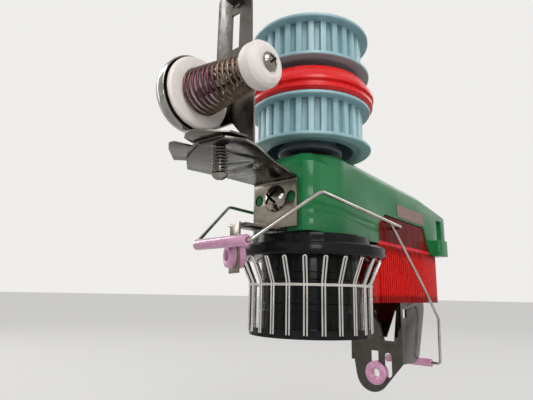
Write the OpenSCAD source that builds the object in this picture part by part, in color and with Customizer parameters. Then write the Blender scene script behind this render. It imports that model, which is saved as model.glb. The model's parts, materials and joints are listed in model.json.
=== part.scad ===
// Positive yarn feeder of a circular knitting machine.
// A toothed pulley turns the spindle through a sliding clutch, and the spindle turns the wheel
// of hairpins that stores the yarn. The casting hangs on the machine's ring by its rear hook.
// Heights are measured from the foot of the yarn wheel, whose axis is the Z axis. The finished
// part is moved so that its origin lies on the roof of the ring slot.

/* [Yarn wheel] */
// Yarn that one turn of the wheel feeds; it sets the circle that the hairpins stand on
yarn_per_turn = 200; // [190:1:208]
// Hairpins round the wheel
pin_count = 24; // [18:1:28]
// Wire of the hairpins
pin_wire_d = 0.95; // [0.7:0.05:1.1]
// Distance between the two legs of a hairpin
pin_leg_gap = 1.4; // [1.35:0.05:2.4]
// How far the wheel is turned at rest, in degrees
pin_turn = 3.4; // [0:0.1:15]
// Height at which the hairpins lean outwards
pin_kink_z = 26; // [22:0.5:29]
// How far a hairpin leans out by its closed end
pin_lean = 5.2; // [3:0.1:5.4]
// Height of the drum inside the hairpins
core_h = 38; // [35:0.5:40]
// Radius of the drum
core_r = 26; // [22:0.5:28]
// Height of the ring at the foot of the drum
foot_h = 4; // [3:0.5:5]
// Thickness of the drum's wall
core_wall = 2.5; // [1.5:0.5:4]
// Radius of the disc over the hairpins
disc_r = 39.7; // [38.5:0.1:40.5]
// Height of the disc's rim
disc_rim_h = 5.8; // [4.5:0.1:7]
// Radius of the step on the disc
disc_step_r = 32; // [28:0.5:35]
// Height of the step on the disc
disc_step_h = 5.1; // [4:0.1:6]
// Height of the band of wound yarn
yarn_band_h = 1.4; // [1:0.1:3]

/* [Spindle] */
// Diameter of the spindle
spindle_d = 8; // [7:0.5:9]
// Diameter of the spindle's shoulder between its bearings
shoulder_d = 12; // [11:0.5:13]
// Outer diameter of the ball bearings
bearing_od = 22; // [20:1:24]
// Width of the ball bearings
bearing_w = 7; // [6:0.5:8]
// Width across the flats of the clutch's hexagon sleeve
sleeve_af = 14; // [13:0.5:15]
// Radius of the grey collar under the lower pulley
collar_r = 18; // [16:0.5:20]
// Height of the grey collar
collar_h = 3.1; // [2.5:0.1:3.5]
// Radius of the rubber seal on the casting
seal_r = 15; // [13:0.5:17]
// Height of the rubber seal
seal_h = 4.2; // [3.5:0.1:5]

/* [Pulleys and clutch] */
// Teeth round each pulley
tooth_count = 28; // [24:1:30]
// Radius at the tips of the teeth
tooth_tip_r = 29.5; // [29:0.1:30.5]
// Depth of the teeth
tooth_depth = 2.2; // [1.6:0.1:2.6]
// Width of a tooth at its tip
tooth_w = 2.8; // [2.2:0.1:3.2]
// Radius of the pulleys' flanges
flange_r = 33.8; // [32.5:0.1:35]
// Thickness of the pulleys' flanges
flange_t = 1.9; // [1.4:0.1:2.4]
// Height of each pulley
pulley_h = 23.8; // [22:0.1:26]
// Wall between a pulley's teeth and its hollow
pulley_wall = 3.1; // [2:0.1:4]
// Gap from the casting up to the lower pulley
pulley_gap = 5.8; // [5.4:0.1:6.4]
// Height of the clutch disc
clutch_h = 15; // [13:0.5:18]
// Radius of the clutch disc at its finger ridge
clutch_r = 36; // [34:0.5:38]
// Travel of the clutch disc from the lower pulley to the upper one
clutch_lift = 4.2; // [3.8:0.1:5]
// Height of the driving dogs on the pulleys
dog_h = 2.8; // [2:0.1:3.2]

/* [Casting] */
// Radius of the round boss over the wheel
boss_r = 22; // [20.5:0.5:23]
// Height of the lower cover
base_h = 10.4; // [9.5:0.1:11.5]
// Height of the upper casting at the boss
casting_h = 31.2; // [28:0.1:34]
// Rounding of the casting's upper edges
edge_r = 3; // [1:0.5:4]
// Half width that the casting loses for each millimetre towards the ring
side_taper = 0.053; // [0.03:0.001:0.06]
// Distance from the wheel's axis to the ring slot
slot_front_y = 139; // [136:1:145]
// Thickness of the ring that the feeder hangs on
ring_t = 10; // [8:0.5:12]
// Total play of the ring in its slot
ring_play = 0.4; // [0.2:0.1:0.8]
// Height of the slot's roof over the casting's underside
seat_h = 27.4; // [25:0.1:29]
// Thickness of the hook's rear wall
hook_t = 8; // [6:0.5:10]
// Width of the lug with the electric contacts
lug_w = 44; // [36:1:48]
// Rear edge of the lamp window at the casting's underside
window_rear_y = 124; // [120:0.5:126]
// Height of the lamp window
window_h = 18.4; // [17.5:0.1:20]
// Face that the front brackets are screwed to, in front of the axis
pad_y = 26.8; // [25:0.1:28]

/* [Lamp cover] */
// How far the red cover reaches below the casting
lens_drop = 33.6; // [28:0.1:35]
// Rear end of the red cover
lens_rear_y = 138; // [132:0.5:138.5]
// Wall of the red cover
lens_wall = 1.8; // [1.2:0.1:2.4]
// Depth of the cover's ribs
rib_depth = 0.8; // [0.4:0.05:0.9]
// Distance between the cover's ribs
rib_pitch = 3; // [2.5:0.1:4]
// Gap between the hairpin wheel and the cover
wheel_gap = 1.8; // [1.5:0.1:2.5]

/* [Inlet] */
// Thickness of the steel sheet
sheet_t = 1.2; // [1:0.1:1.5]
// Half width of the inlet bracket's front plate
front_half_w = 14.2; // [12:0.1:16]
// Height of the inlet arm's underside over the casting's underside
arm_rise = 25.9; // [24:0.1:28]
// Height of the upright plate's top over the arm
upright_h = 95; // [85:1:110]
// Radius of the white tension disc
tension_disc_r = 16.3; // [14:0.1:17.5]
// Height of the tensioner's axis over the arm
tension_up = 28.7; // [26:0.1:32]
// Diameter of the tensioner's axle
axle_d = 4; // [3:0.5:5]
// Radius of the tension spring at the disc
spring_big_r = 11; // [9:0.5:12]
// Radius of the tension spring at the knob
spring_small_r = 7.2; // [6:0.1:8]
// Wire of the tension spring
spring_wire_d = 1.3; // [0.8:0.1:1.5]
// Turns of the tension spring
spring_turns = 12; // [8:1:14]
// Length of the tension spring
spring_len = 31; // [28:0.5:36]
// Radius of the tension knob
knob_r = 9.3; // [8:0.1:11]
// Length of the tension knob
knob_len = 9; // [7:0.5:12]
// Radius of the ceramic input eyelet
eyelet_r = 5.3; // [4.5:0.1:6]

/* [Feelers] */
// Wire of the two feeler bails
bail_d = 1.8; // [1.4:0.1:2.2]
// Outer diameter of the ceramic tubes on the bails
tube_d = 5; // [4:0.1:6]
// Length of the ceramic tubes
tube_len = 33; // [28:1:34]

/* [Outlet] */
// Half width of the outlet plate
outlet_half_w = 17.5; // [16:0.1:18.5]
// Depth of the outlet plate's side walls
outlet_depth = 34; // [28:0.5:36]
// Radius of the ceramic ring in the outlet plate
outlet_ring_r = 7; // [6:0.1:7.5]

/* [Hidden] */
// Play between a shaft and the bore that it turns in
fit = 0.03;
// Gap between faces that are pressed together
seat = 0.02;
// Gap between pieces that slide past each other
slide = 0.15;
// Gap between turning faces
turn_gap = 0.3;
// Sides of the bent wires
wire_sides = 6;

pin_circle_r = yarn_per_turn / (2 * PI);
pin_tip_r = pin_circle_r + pin_lean;
disc_z = core_h + turn_gap;
disc_top_z = disc_z + disc_rim_h + disc_step_h;
casting_z = disc_top_z + 0.9;
parting_z = casting_z + base_h;
casting_top_z = parting_z + casting_h;
seat_z = casting_z + seat_h;
slot_w = ring_t + ring_play;
ring_y = slot_front_y + slot_w / 2;
hook_back_y = slot_front_y + slot_w + hook_t;

spindle_r = spindle_d / 2;
shoulder_r = shoulder_d / 2;
bearing_r = bearing_od / 2;
nut_h = 5;
web_z = nut_h + 1;
web_t = 3;
lower_bearing_z = casting_z + 2;
upper_bearing_z = casting_top_z - 2.7 - bearing_w;
collar_z = casting_top_z + seal_h;
lower_pulley_z = casting_top_z + pulley_gap;
pulley_bearing_z = 8.4;
lower_pulley_top_z = lower_pulley_z + pulley_h;
clutch_z = lower_pulley_top_z + turn_gap;
clutch_top_z = clutch_z + clutch_h;
upper_pulley_z = clutch_top_z + clutch_lift + turn_gap;
upper_bearing_in_pulley_z = upper_pulley_z + pulley_h - pulley_bearing_z - bearing_w;
top_nut_z = upper_bearing_in_pulley_z + bearing_w + seat;
top_nut_h = 7;
spindle_top_z = top_nut_z + top_nut_h + 1.5;
tooth_root_r = tooth_tip_r - tooth_depth;
pulley_hollow_r = tooth_root_r - pulley_wall;
pulley_web_t = 5;
dog_r = 18;
dog_size = [5, 8];
dog_play = 1;

lens_z = casting_z - lens_drop;
lens_ledge_z = casting_z - 0.8;
lens_inset = 1;
lens_floor_z = lens_z + 2;
lens_upper_r = disc_r + wheel_gap;
window_front_y = lens_upper_r - 1.5;
lens_lower_r = pin_circle_r + pin_wire_d / 2 + wheel_gap + 1.1;
lens_step_z = pin_kink_z + 4;
window_top_z = casting_z + window_h;
window_slope = [9, 7];
input_pivot = [window_front_y + 20.4, casting_z + 11.4];
output_pivot = [window_front_y + 11, casting_z + 14.5];
pivot_in_x = 8;
switch_half_w = 13;
contact_x = [-8, 0, 8];
contact_z = casting_z + 5;

bracket_y = pad_y + sheet_t;
front_y = bracket_y + sheet_t;
front_low_z = casting_z + 1.9;
arm_z = casting_z + arm_rise;
front_screw_z = arm_z - 9;
arm_top_z = arm_z + sheet_t;
fold_r = 2 * sheet_t;
upright_y = 61.8;
upright_face_y = upright_y + sheet_t;
upright_x = [-9.9, 13];
upright_foot_x = [9, 17.3];
upright_top_z = arm_top_z + upright_h;
cup_r = tension_disc_r + 1.3;
tension_reach = cup_r + 0.4;
tension_y = -(upright_face_y + tension_reach);
tension_z = arm_z + tension_up;
cup_depth = 8;
cup_x = upright_x[0] + sheet_t + seat;
disc_back_x = cup_x + cup_depth + turn_gap;
disc_t = 2.6;
spring_x = disc_back_x + disc_t + 0.1;
knob_x = spring_x + spring_len + 0.1;
axle_end_x = knob_x + knob_len + 0.3;
knob_travel = 6;
catcher_at = [18, -82];
catcher_screw_r = 1.9;
catcher_spring_h = 11;
catcher_plate_t = 1;
catcher_lower_z = arm_top_z + 0.05;
catcher_upper_z = catcher_lower_z + catcher_plate_t + 0.1;
catcher_nut_z = catcher_upper_z + catcher_plate_t + seat;
entry_at = [-3, -(upright_face_y + 12)];
input_eyelet_at = [0, -55.6, casting_z - 14];
input_eyelet_turn = 25;
input_eyelet_len = 8;
eyelet_neck_r = eyelet_r - 1.2;

outlet_y = 68;
outlet_top_z = lens_z - seat;
outlet_eyelet_at = [0, outlet_top_z - 42.5];
outlet_tip_at = [-3, outlet_top_z - 43];
outlet_tip_r = 11;
outlet_screw_y = [outlet_y + 11, outlet_y + 26];

input_corner = [24.2, input_pivot[0], input_pivot[1]];
input_peak = [30.5, -32, casting_z + 15.8];
input_low = [18.2, -64, casting_z - 8.7];
output_corner = [21.2, output_pivot[0], output_pivot[1]];
output_bend = [24, 86.8, casting_z - 22.3];
output_knee = [22.4, 113.7, casting_z - 44.1];
output_low = [22, 113, casting_z - 72.7];

// Half width of the casting at a distance behind the wheel's axis
function half_w(y) = boss_r - side_taper * y;
function polar(r, a) = [r * cos(a), r * sin(a)];
function arc(at, r, from, to, steps) =
    [for (i = [0 : steps]) at + polar(r, from + (to - from) * i / steps)];
function unit(v) = v / norm(v);
function last(list) = list[len(list) - 1];

// A bent wire's path: each inner corner becomes a bend that starts r away from it
function bent(points, r, steps) = [
    points[0],
    for (i = [1 : len(points) - 2])
        let (before = points[i] + r * unit(points[i - 1] - points[i]))
        let (after = points[i] + r * unit(points[i + 1] - points[i]))
        for (k = [0 : steps])
            let (t = k / steps)
            (1 - t) * (1 - t) * before + 2 * t * (1 - t) * points[i] + t * t * after,
    last(points)
];

// A wire of round section along a path; side is never parallel to the path
module wire(path, r, side, sides = wire_sides) {
    count = len(path);
    function along(i) = unit(path[min(i + 1, count - 1)] - path[max(i - 1, 0)]);
    rings = [
        for (i = [0 : count - 1])
            let (across = unit(cross(along(i), side)))
            let (over = cross(across, along(i)))
            for (k = [0 : sides - 1])
                let (a = 360 * k / sides)
                path[i] + r * (cos(a) * across + sin(a) * over)
    ];
    walls = [
        for (i = [0 : count - 2])
            for (k = [0 : sides - 1])
                let (next = (k + 1) % sides)
                [i * sides + k, i * sides + next, (i + 1) * sides + next, (i + 1) * sides + k]
    ];
    polyhedron(
        points = rings,
        faces = concat(
            [[for (k = [sides - 1 : -1 : 0]) k]],
            walls,
            [[for (k = [0 : sides - 1]) (count - 1) * sides + k]]
        ),
        convexity = 6
    );
}

module ring(outer, inner, h) {
    difference() {
        cylinder(r = outer, h = h, $fn = 96);
        translate([0, 0, -1]) cylinder(r = inner, h = h + 2, $fn = 96);
    }
}

// A shape whose own Z axis is laid along X, and one laid towards the front
module along_x() rotate([90, 0, 90]) children();
module to_front() rotate([90, 0, 0]) children();

// A plate drawn as (Y, Z) and pushed out to both sides of the middle
module side_profile(half, points) {
    translate([-half, 0, 0]) along_x() linear_extrude(2 * half) polygon(points);
}

// Hexagon prism measured across its flats
module hexagon(af, h) cylinder(r = af / (2 * cos(30)), h = h, $fn = 6);

// Quarter turn of a folded sheet: its centre line lies along X
module fold(w) {
    rotate([90, 0, 90])
        rotate_extrude(angle = 90, $fn = 48)
            translate([fold_r - sheet_t, 0]) square([sheet_t, w]);
}

// Plan of the casting between two distances behind the axis
module side_plan(from, to, inset = 0) {
    polygon([
        [-half_w(from) + inset, from], [half_w(from) - inset, from],
        [half_w(to) - inset, to], [-half_w(to) + inset, to]
    ]);
}

module front_block_plan(inset = 0) {
    w = 20 - inset;
    f = pad_y - inset;
    polygon([[-w, 0], [w, 0], [w, -f + 3], [w - 4, -f], [-w + 4, -f], [-w, -f + 3]]);
}

// Opening for the red cover, drawn as (Y, Z); inset makes the cover's own outline
function window_points(low_z, inset) = [
    [window_front_y + inset, low_z],
    [window_front_y + inset, window_top_z - window_slope[1] - inset / 2],
    [window_front_y + window_slope[0] + inset / 2, window_top_z - inset],
    [window_rear_y - 12 - inset, window_top_z - inset],
    [window_rear_y - inset, casting_z],
    [window_rear_y - inset, low_z]
];

// One cross-section of the casting's arm, for the hull that joins two of them
module arm_section(y, half, low_z, top_z) {
    t = 0.02;
    for (s = [-1, 1])
        translate([s * (half - edge_r), y + t, top_z - edge_r])
            to_front() cylinder(r = edge_r, h = t, $fn = 32);
    translate([-half, y, low_z]) cube([2 * half, t, 1]);
}

module housing_body() {
    bend_y = 105;
    bend_z = casting_top_z - 2.7;
    rear_z = casting_top_z - 8.6;
    low_z = window_top_z - 4;
    translate([0, 0, parting_z])
        rotate_extrude($fn = 96) {
            square([boss_r, casting_h - edge_r]);
            square([boss_r - edge_r, casting_h]);
            translate([boss_r - edge_r, casting_h - edge_r])
                intersection() {
                    circle(r = edge_r, $fn = 48);
                    square(edge_r);
                }
        }
    hull() {
        arm_section(0, half_w(0), parting_z, casting_top_z);
        arm_section(bend_y, half_w(bend_y), parting_z, bend_z);
    }
    hull() {
        arm_section(bend_y, half_w(bend_y), low_z, bend_z);
        arm_section(hook_back_y, half_w(hook_back_y), low_z, rear_z);
    }
    translate([0, 0, parting_z]) linear_extrude(casting_h - 7) front_block_plan();
    hull() {
        translate([0, 0, casting_top_z - 7.5]) linear_extrude(0.5) front_block_plan();
        translate([0, 0, casting_top_z - 2]) linear_extrude(0.5) front_block_plan(4);
    }
    translate([0, 0, casting_z]) linear_extrude(base_h + 12) side_plan(bend_y, slot_front_y);
    translate([0, 0, seat_z - 18]) linear_extrude(20) side_plan(slot_front_y, hook_back_y);
    contact_lug();
}

// Wide lug in front of the ring that carries the electric contacts
module contact_lug() {
    corner = 3;
    for (s = [-1, 1])
        translate([s * (lug_w / 2 - corner), slot_front_y - 12 + corner, casting_z - 0.6])
            cylinder(r = corner, h = base_h + 1, $fn = 48);
    translate([-lug_w / 2 + corner, slot_front_y - 12, casting_z - 0.6])
        cube([lug_w - 2 * corner, 12, base_h + 1]);
    translate([-lug_w / 2, slot_front_y - 12 + corner, casting_z - 0.6])
        cube([lug_w, 12 - corner, base_h + 1]);
}

module housing() {
    color("seagreen")
    difference() {
        housing_body();
        translate([0, 0, parting_z - 1]) cylinder(r = 14, h = 20, $fn = 96);
        translate([0, 0, upper_bearing_z - 1])
            cylinder(r = bearing_r + seat, h = bearing_w + 1 + seat, $fn = 96);
        translate([0, 0, parting_z]) cylinder(r = shoulder_r + 1.5, h = casting_h + 1, $fn = 96);
        side_profile(boss_r + 5, window_points(casting_z - 1, 0));
        translate([-10, window_front_y + 20, window_top_z - 1]) cube([20, 50, 12]);
        ring_slot();
        clamp_hole();
        contact_pocket();
        front_screw_hole();
        cover_screw_places() translate([0, 0, parting_z - 1]) cylinder(r = 1.5 + fit, h = 11, $fn = 48);
    }
}

module ring_slot() {
    translate([-boss_r, slot_front_y, seat_z - 40]) cube([2 * boss_r, slot_w, 40]);
}

module clamp_hole() {
    translate([0, hook_back_y + 1, seat_z - 10])
        to_front() cylinder(r = 4 + fit, h = hook_t + 3, $fn = 64);
}

module contact_pocket() {
    translate([-14, slot_front_y - 6, contact_z - 3.5]) cube([28, 7, 7]);
}

module front_screw_hole() {
    translate([0, -pad_y + 11, front_screw_z]) to_front() cylinder(r = 3 + fit, h = 12, $fn = 64);
}

module cover_screw_places() {
    for (a = [90, 210, 330]) translate([17.6 * cos(a), 17.6 * sin(a), 0]) children();
}

module housing_base() {
    color("seagreen")
    difference() {
        translate([0, 0, casting_z]) {
            cylinder(r = boss_r, h = base_h - seat, $fn = 96);
            linear_extrude(base_h - seat) side_plan(0, window_front_y);
            linear_extrude(base_h - seat) front_block_plan();
        }
        translate([0, 0, lower_bearing_z]) cylinder(r = bearing_r + seat, h = base_h, $fn = 96);
        translate([0, 0, casting_z - 1]) cylinder(r = shoulder_r + 1, h = 5, $fn = 96);
        cover_screw_places() translate([0, 0, casting_z - 1]) cylinder(r = 1.6, h = base_h + 2, $fn = 48);
        cover_screw_places() translate([0, 0, casting_z - 1]) cylinder(r = 3, h = 3.2, $fn = 48);
    }
}

module cover_screws() {
    color("silver")
    cover_screw_places() {
        difference() {
            translate([0, 0, casting_z + 0.2]) cylinder(r = 2.7, h = 2, $fn = 48);
            translate([-0.5, -3, casting_z]) cube([1, 6, 0.9]);
        }
        translate([0, 0, casting_z + 2.1]) cylinder(r = 1.5, h = base_h + 6, $fn = 48);
    }
}

module name_panel() {
    from = 67;
    color("rosybrown")
    translate([0, 0, window_top_z + 1.2])
        linear_extrude(8)
            polygon([
                [half_w(from) + seat, from], [half_w(from) + 0.4, from],
                [half_w(from + 45) + 0.4, from + 45], [half_w(from + 45) + seat, from + 45]
            ]);
}

// Plan of the hanging part of the red cover, ribbed on both sides
module lens_plan(inset) {
    ribs = floor(68 / rib_pitch);
    first = window_front_y + 2;
    right = [
        for (i = [0 : ribs - 1])
            let (y = first + i * rib_pitch)
            let (out = half_w(y) - 0.2 - inset)
            for (p = [[0, -rib_depth], [0, 0], [0.5, 0], [0.5, -rib_depth]])
                [out + (inset > 0 ? 0 : p[1]), y + p[0] * rib_pitch]
    ];
    rear = lens_rear_y - inset;
    rear_w = half_w(lens_rear_y) - 0.2 - inset;
    outline = concat(
        [[half_w(20) - 0.2 - inset, 20]],
        right,
        [[half_w(110) - 0.2 - inset, 110], [rear_w, rear - 4], [rear_w - 3, rear]]
    );
    polygon(concat(outline, [for (i = [len(outline) - 1 : -1 : 0]) [-outline[i][0], outline[i][1]]]));
}

module signal_lens() {
    cut = 60;
    color("crimson", 0.8)
    difference() {
        union() {
            difference() {
                translate([0, 0, lens_z]) linear_extrude(lens_ledge_z - lens_z) lens_plan(0);
                translate([0, 0, lens_step_z]) cylinder(r = lens_upper_r, h = cut, $fn = 96);
                translate([0, 0, lens_z - 1]) cylinder(r = lens_lower_r, h = cut, $fn = 96);
            }
            intersection() {
                side_profile(boss_r, window_points(lens_ledge_z - 0.1, slide));
                translate([0, 0, lens_ledge_z - 1]) linear_extrude(cut) side_plan(30, 130, lens_inset);
            }
        }
        difference() {
            translate([0, 0, lens_floor_z])
                linear_extrude(lens_ledge_z - lens_wall - lens_floor_z) lens_plan(lens_wall);
            translate([0, 0, lens_step_z - lens_wall])
                cylinder(r = lens_upper_r + lens_wall, h = cut, $fn = 96);
            translate([0, 0, lens_z - 1]) cylinder(r = lens_lower_r + lens_wall, h = cut, $fn = 96);
            outlet_screw_places() translate([0, 0, lens_z]) cylinder(r = 3.5, h = 9, $fn = 48);
        }
        intersection() {
            side_profile(boss_r, [
                [lens_upper_r + lens_wall + 0.4, lens_ledge_z - lens_wall - 1],
                [lens_upper_r + lens_wall + 0.4, casting_z + 40],
                [window_rear_y - 14, casting_z + 40],
                [window_rear_y - lens_wall - 3, lens_ledge_z - lens_wall - 1]
            ]);
            translate([0, 0, lens_z])
                linear_extrude(cut + 40) side_plan(30, 130, lens_inset + lens_wall);
        }
        for (at = [input_pivot, output_pivot])
            translate([-boss_r - 5, at[0], at[1]])
                along_x() cylinder(r = bail_d / 2 + 0.6, h = 2 * boss_r + 10, $fn = 48);
        outlet_screw_places() translate([0, 0, lens_z - 1]) cylinder(r = 1.5 + fit, h = 8, $fn = 48);
    }
}

module lamp() {
    color("ivory")
    translate([0, 90, window_top_z - 16]) {
        cylinder(r = 4.5, h = 14, $fn = 64);
        sphere(r = 4.5, $fn = 64);
    }
}

module lamp_board() {
    color("darkgreen")
    translate([-12.6, 71, window_top_z - 1.9]) cube([25.2, 34, 1.7]);
}

module switch_block(points, pivot) {
    difference() {
        side_profile(switch_half_w, points);
        for (s = [-1, 1])
            translate([s > 0 ? pivot_in_x : -switch_half_w - 1, pivot[0], pivot[1]])
                along_x()
                    cylinder(r = bail_d / 2 + 2 * fit, h = switch_half_w - pivot_in_x + 1, $fn = 48);
    }
}

module input_switch() {
    low = casting_z + 7;
    top = window_top_z - 0.2;
    color("dimgray")
    switch_block([
        [input_pivot[0] - 4.4, low], [input_pivot[0] + 5, low],
        [input_pivot[0] + 5, top], [input_pivot[0] - 4.4, top]
    ], input_pivot);
}

module output_switch() {
    low = casting_z + 9;
    top = window_top_z - 0.2;
    front = lens_upper_r + lens_wall + 0.7;
    color("dimgray")
    switch_block([
        [front, low], [output_pivot[0] + 4.6, low], [output_pivot[0] + 4.6, top],
        [window_front_y + window_slope[0] + 0.4, top], [front, window_top_z - 4.6]
    ], output_pivot);
}

module contact_carrier() {
    color("dimgray")
    difference() {
        translate([-14 + slide, slot_front_y - 6 + seat, contact_z - 3.5 + slide])
            cube([28 - 2 * slide, 6 - seat, 7 - 2 * slide]);
        for (x = contact_x)
            translate([x, slot_front_y + 1, contact_z]) to_front() cylinder(r = 1.5 + fit, h = 5, $fn = 48);
    }
}

module contact_pins() {
    color("goldenrod")
    for (x = contact_x)
        translate([x, slot_front_y, contact_z]) to_front() cylinder(r = 1.5, h = 3.9, $fn = 48);
}

module clamp_screw() {
    head_r = 6.5;
    color("silver")
    difference() {
        union() {
            translate([0, hook_back_y + 1, seat_z - 10])
                to_front() cylinder(r = 4, h = hook_t + 1.2, $fn = 64);
            translate([0, hook_back_y + 8, seat_z - 10])
                to_front() cylinder(r = head_r, h = 8 - seat, $fn = 64);
        }
        translate([0, hook_back_y + 9, seat_z - 10]) to_front() hexagon(6, 5);
    }
}

// Shielded ball bearing, closed on both faces
module bearing() {
    groove = 0.4;
    color("lightgray")
    difference() {
        ring(bearing_r, spindle_r + fit, bearing_w);
        for (z = [-1, bearing_w - groove])
            translate([0, 0, z]) ring(bearing_r - 1.6, bearing_r - 2.1, 1 + groove);
    }
}

module upper_bearing() translate([0, 0, upper_bearing_z]) bearing();
module lower_bearing() translate([0, 0, lower_bearing_z + seat]) bearing();

module shaft_seal() {
    lip = seal_r - 2.5;
    color("black")
    translate([0, 0, casting_top_z + seat])
        rotate_extrude($fn = 96)
            polygon([
                [shoulder_r + 0.6, 0], [seal_r, 0], [seal_r, 1], [lip, 1.8],
                [seal_r - 1, seal_h - turn_gap], [shoulder_r + 0.6, seal_h - turn_gap]
            ]);
}

// Outline of the inlet arm, from the fold to its free end
module arm_plan() {
    polygon([
        [front_half_w, -bracket_y - fold_r], [21.8, -54.6], [29.7, -73.7], [31, -81], [27, -88],
        [13, -89], [-6, -80.5], [-17.6, -71.2], [-15, -49.6], [-front_half_w, -bracket_y - fold_r]
    ]);
}

module inlet_bracket() {
    plate_h = arm_top_z - fold_r - front_low_z;
    color("silver")
    difference() {
        union() {
            translate([-front_half_w, -front_y, front_low_z]) cube([2 * front_half_w, sheet_t, plate_h]);
            translate([-front_half_w, -bracket_y - fold_r, arm_top_z - fold_r]) fold(2 * front_half_w);
            translate([0, 0, arm_z]) linear_extrude(sheet_t) arm_plan();
        }
        translate([0, -pad_y, front_screw_z]) to_front() cylinder(r = 3.3, h = 5, $fn = 64);
        for (s = [-1, 1])
            translate([s * 10.5, -pad_y, front_screw_z]) to_front() cylinder(r = 2.9, h = 5, $fn = 64);
        translate([catcher_at[0], catcher_at[1], arm_z - 1])
            cylinder(r = catcher_screw_r + 0.1, h = 4, $fn = 48);
        upright_screw_place() translate([0, 0, arm_z - 1]) cylinder(r = 1.5 + fit, h = 4, $fn = 48);
        translate([3, -66, arm_z - 1]) rotate([0, 0, 20]) cube([12, 0.9, 4]);
        translate([-6, -60, arm_z - 1]) cylinder(r = 2.2, h = 4, $fn = 48);
    }
}

// Domed screw with a crossed slot, its head's underside at the origin and its shank upwards
module domed_screw(head_r, head_h, shank_r, shank_h, slot_w) {
    sphere_r = (head_r * head_r + head_h * head_h) / (2 * head_h);
    difference() {
        union() {
            intersection() {
                translate([0, 0, sphere_r - head_h]) sphere(r = sphere_r, $fn = 96);
                translate([0, 0, -head_h]) cylinder(r = head_r, h = head_h, $fn = 64);
            }
            translate([0, 0, -0.1]) cylinder(r = shank_r, h = shank_h + 0.1, $fn = 64);
        }
        for (a = [45, 135])
            rotate([0, 0, a])
                translate([-head_r * 0.6, -slot_w / 2, -head_h - 1])
                    cube([head_r * 1.2, slot_w, 1 + head_h * 0.45]);
    }
}

module bracket_screw() {
    color("silver")
    translate([0, -front_y - seat, front_screw_z])
        rotate([-90, 0, 0]) domed_screw(7, 4.2, 3, 11, 1.4);
}

// Folded strip that carries the input eyelet in front of the wheel
module eyelet_bracket() {
    leaf_z = casting_z - 0.1;
    drop_y = -input_eyelet_at[1] + 0.2;
    half = 6;
    color("silver")
    difference() {
        union() {
            translate([-half, -bracket_y, leaf_z])
                cube([2 * half, sheet_t - seat, front_screw_z + 8 - leaf_z]);
            translate([-half, -drop_y + 1, leaf_z]) cube([2 * half, drop_y - pad_y - 1 - seat, sheet_t]);
            eyelet_place()
                translate([-half, -sheet_t / 2, -7.5])
                    cube([2 * half, sheet_t, leaf_z - input_eyelet_at[2] + 8.5]);
        }
        translate([0, -pad_y + 1, front_screw_z]) to_front() cylinder(r = 3.3, h = 5, $fn = 64);
        eyelet_place() translate([0, 5, 0]) to_front() cylinder(r = eyelet_neck_r + seat, h = 10, $fn = 64);
        translate([-20, -drop_y - 9, leaf_z + sheet_t]) cube([40, 20, 12]);
    }
}

module eyelet_place() {
    translate(input_eyelet_at) rotate([0, 0, -input_eyelet_turn]) children();
}

// Glazed ring with a rounded mouth at each end and a neck that sits in the sheet
module eyelet(r, bore_r, length, neck_r, neck_w) {
    rotate_extrude($fn = 64)
        polygon(concat(
            [[bore_r + 1.4, -length / 2]],
            arc([r - 1, -length / 2 + 1], 1, -90, 0, 5),
            [[r, -neck_w / 2], [neck_r, -neck_w / 2], [neck_r, neck_w / 2], [r, neck_w / 2]],
            arc([r - 1, length / 2 - 1], 1, 0, 90, 5),
            [[bore_r + 1.4, length / 2]],
            arc([bore_r + 1.4, length / 2 - 1.4], 1.4, 90, 180, 5),
            arc([bore_r + 1.4, -length / 2 + 1.4], 1.4, 180, 270, 5)
        ));
}

module input_eyelet() {
    color("orchid")
    eyelet_place()
        to_front() eyelet(eyelet_r, 2.3, input_eyelet_len, eyelet_neck_r, sheet_t + 2 * seat);
}

// The upright's flat outline, drawn as (X, height)
module upright_outline() {
    low = arm_top_z + fold_r;
    polygon([
        [upright_foot_x[0], low], [upright_foot_x[1], low], [upright_foot_x[1] - 1, low + 32],
        [upright_x[1] + 1.5, tension_z + 14], [upright_x[1], upright_top_z - 12],
        [upright_x[1] - 6, upright_top_z - fold_r], [upright_x[0] + 3, upright_top_z - fold_r],
        [upright_x[0], upright_top_z - 8], [upright_x[0], tension_z - 8.5],
        [upright_foot_x[0] - 6, tension_z - 8.5], [upright_foot_x[0], tension_z - 15]
    ]);
}

module upright_plate() {
    foot_w = upright_foot_x[1] - upright_foot_x[0];
    tab_w = upright_x[1] - 9 - upright_x[0];
    color("gray")
    difference() {
        union() {
            translate([0, -upright_y, 0]) to_front() linear_extrude(sheet_t) upright_outline();
            translate([upright_foot_x[0], -upright_face_y + fold_r, arm_top_z + fold_r + seat])
                mirror([0, 0, 1]) mirror([0, 1, 0]) fold(foot_w);
            translate([upright_foot_x[0], -upright_face_y + fold_r, arm_top_z + seat])
                cube([foot_w, 8, sheet_t]);
            translate([upright_x[0] + 3, -upright_y - fold_r, upright_top_z - fold_r]) fold(tab_w);
            translate([upright_x[0] + 3, -upright_y - 17, upright_top_z - sheet_t])
                cube([tab_w, 17 - fold_r, sheet_t]);
            translate([0, -upright_face_y - 4, upright_top_z - 13.5]) cube([7, 4.5, sheet_t]);
            tension_ear();
        }
        translate([3, -upright_y + 1, tension_z + 29])
            to_front() linear_extrude(4) translate([-2.8, 0]) square([5.6, 19]);
        translate([0.6, -upright_y + 1, upright_top_z - 16]) to_front() linear_extrude(4) square([5, 1.3]);
        upright_screw_place() translate([0, 0, arm_top_z]) cylinder(r = 1.7, h = 3, $fn = 48);
        translate([entry_at[0], entry_at[1], upright_top_z - 3]) cylinder(r = 3 + seat, h = 5, $fn = 48);
    }
}

module upright_screw_place() {
    translate([(upright_foot_x[0] + upright_foot_x[1]) / 2, -upright_face_y + fold_r + 4, 0]) children();
}

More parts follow.
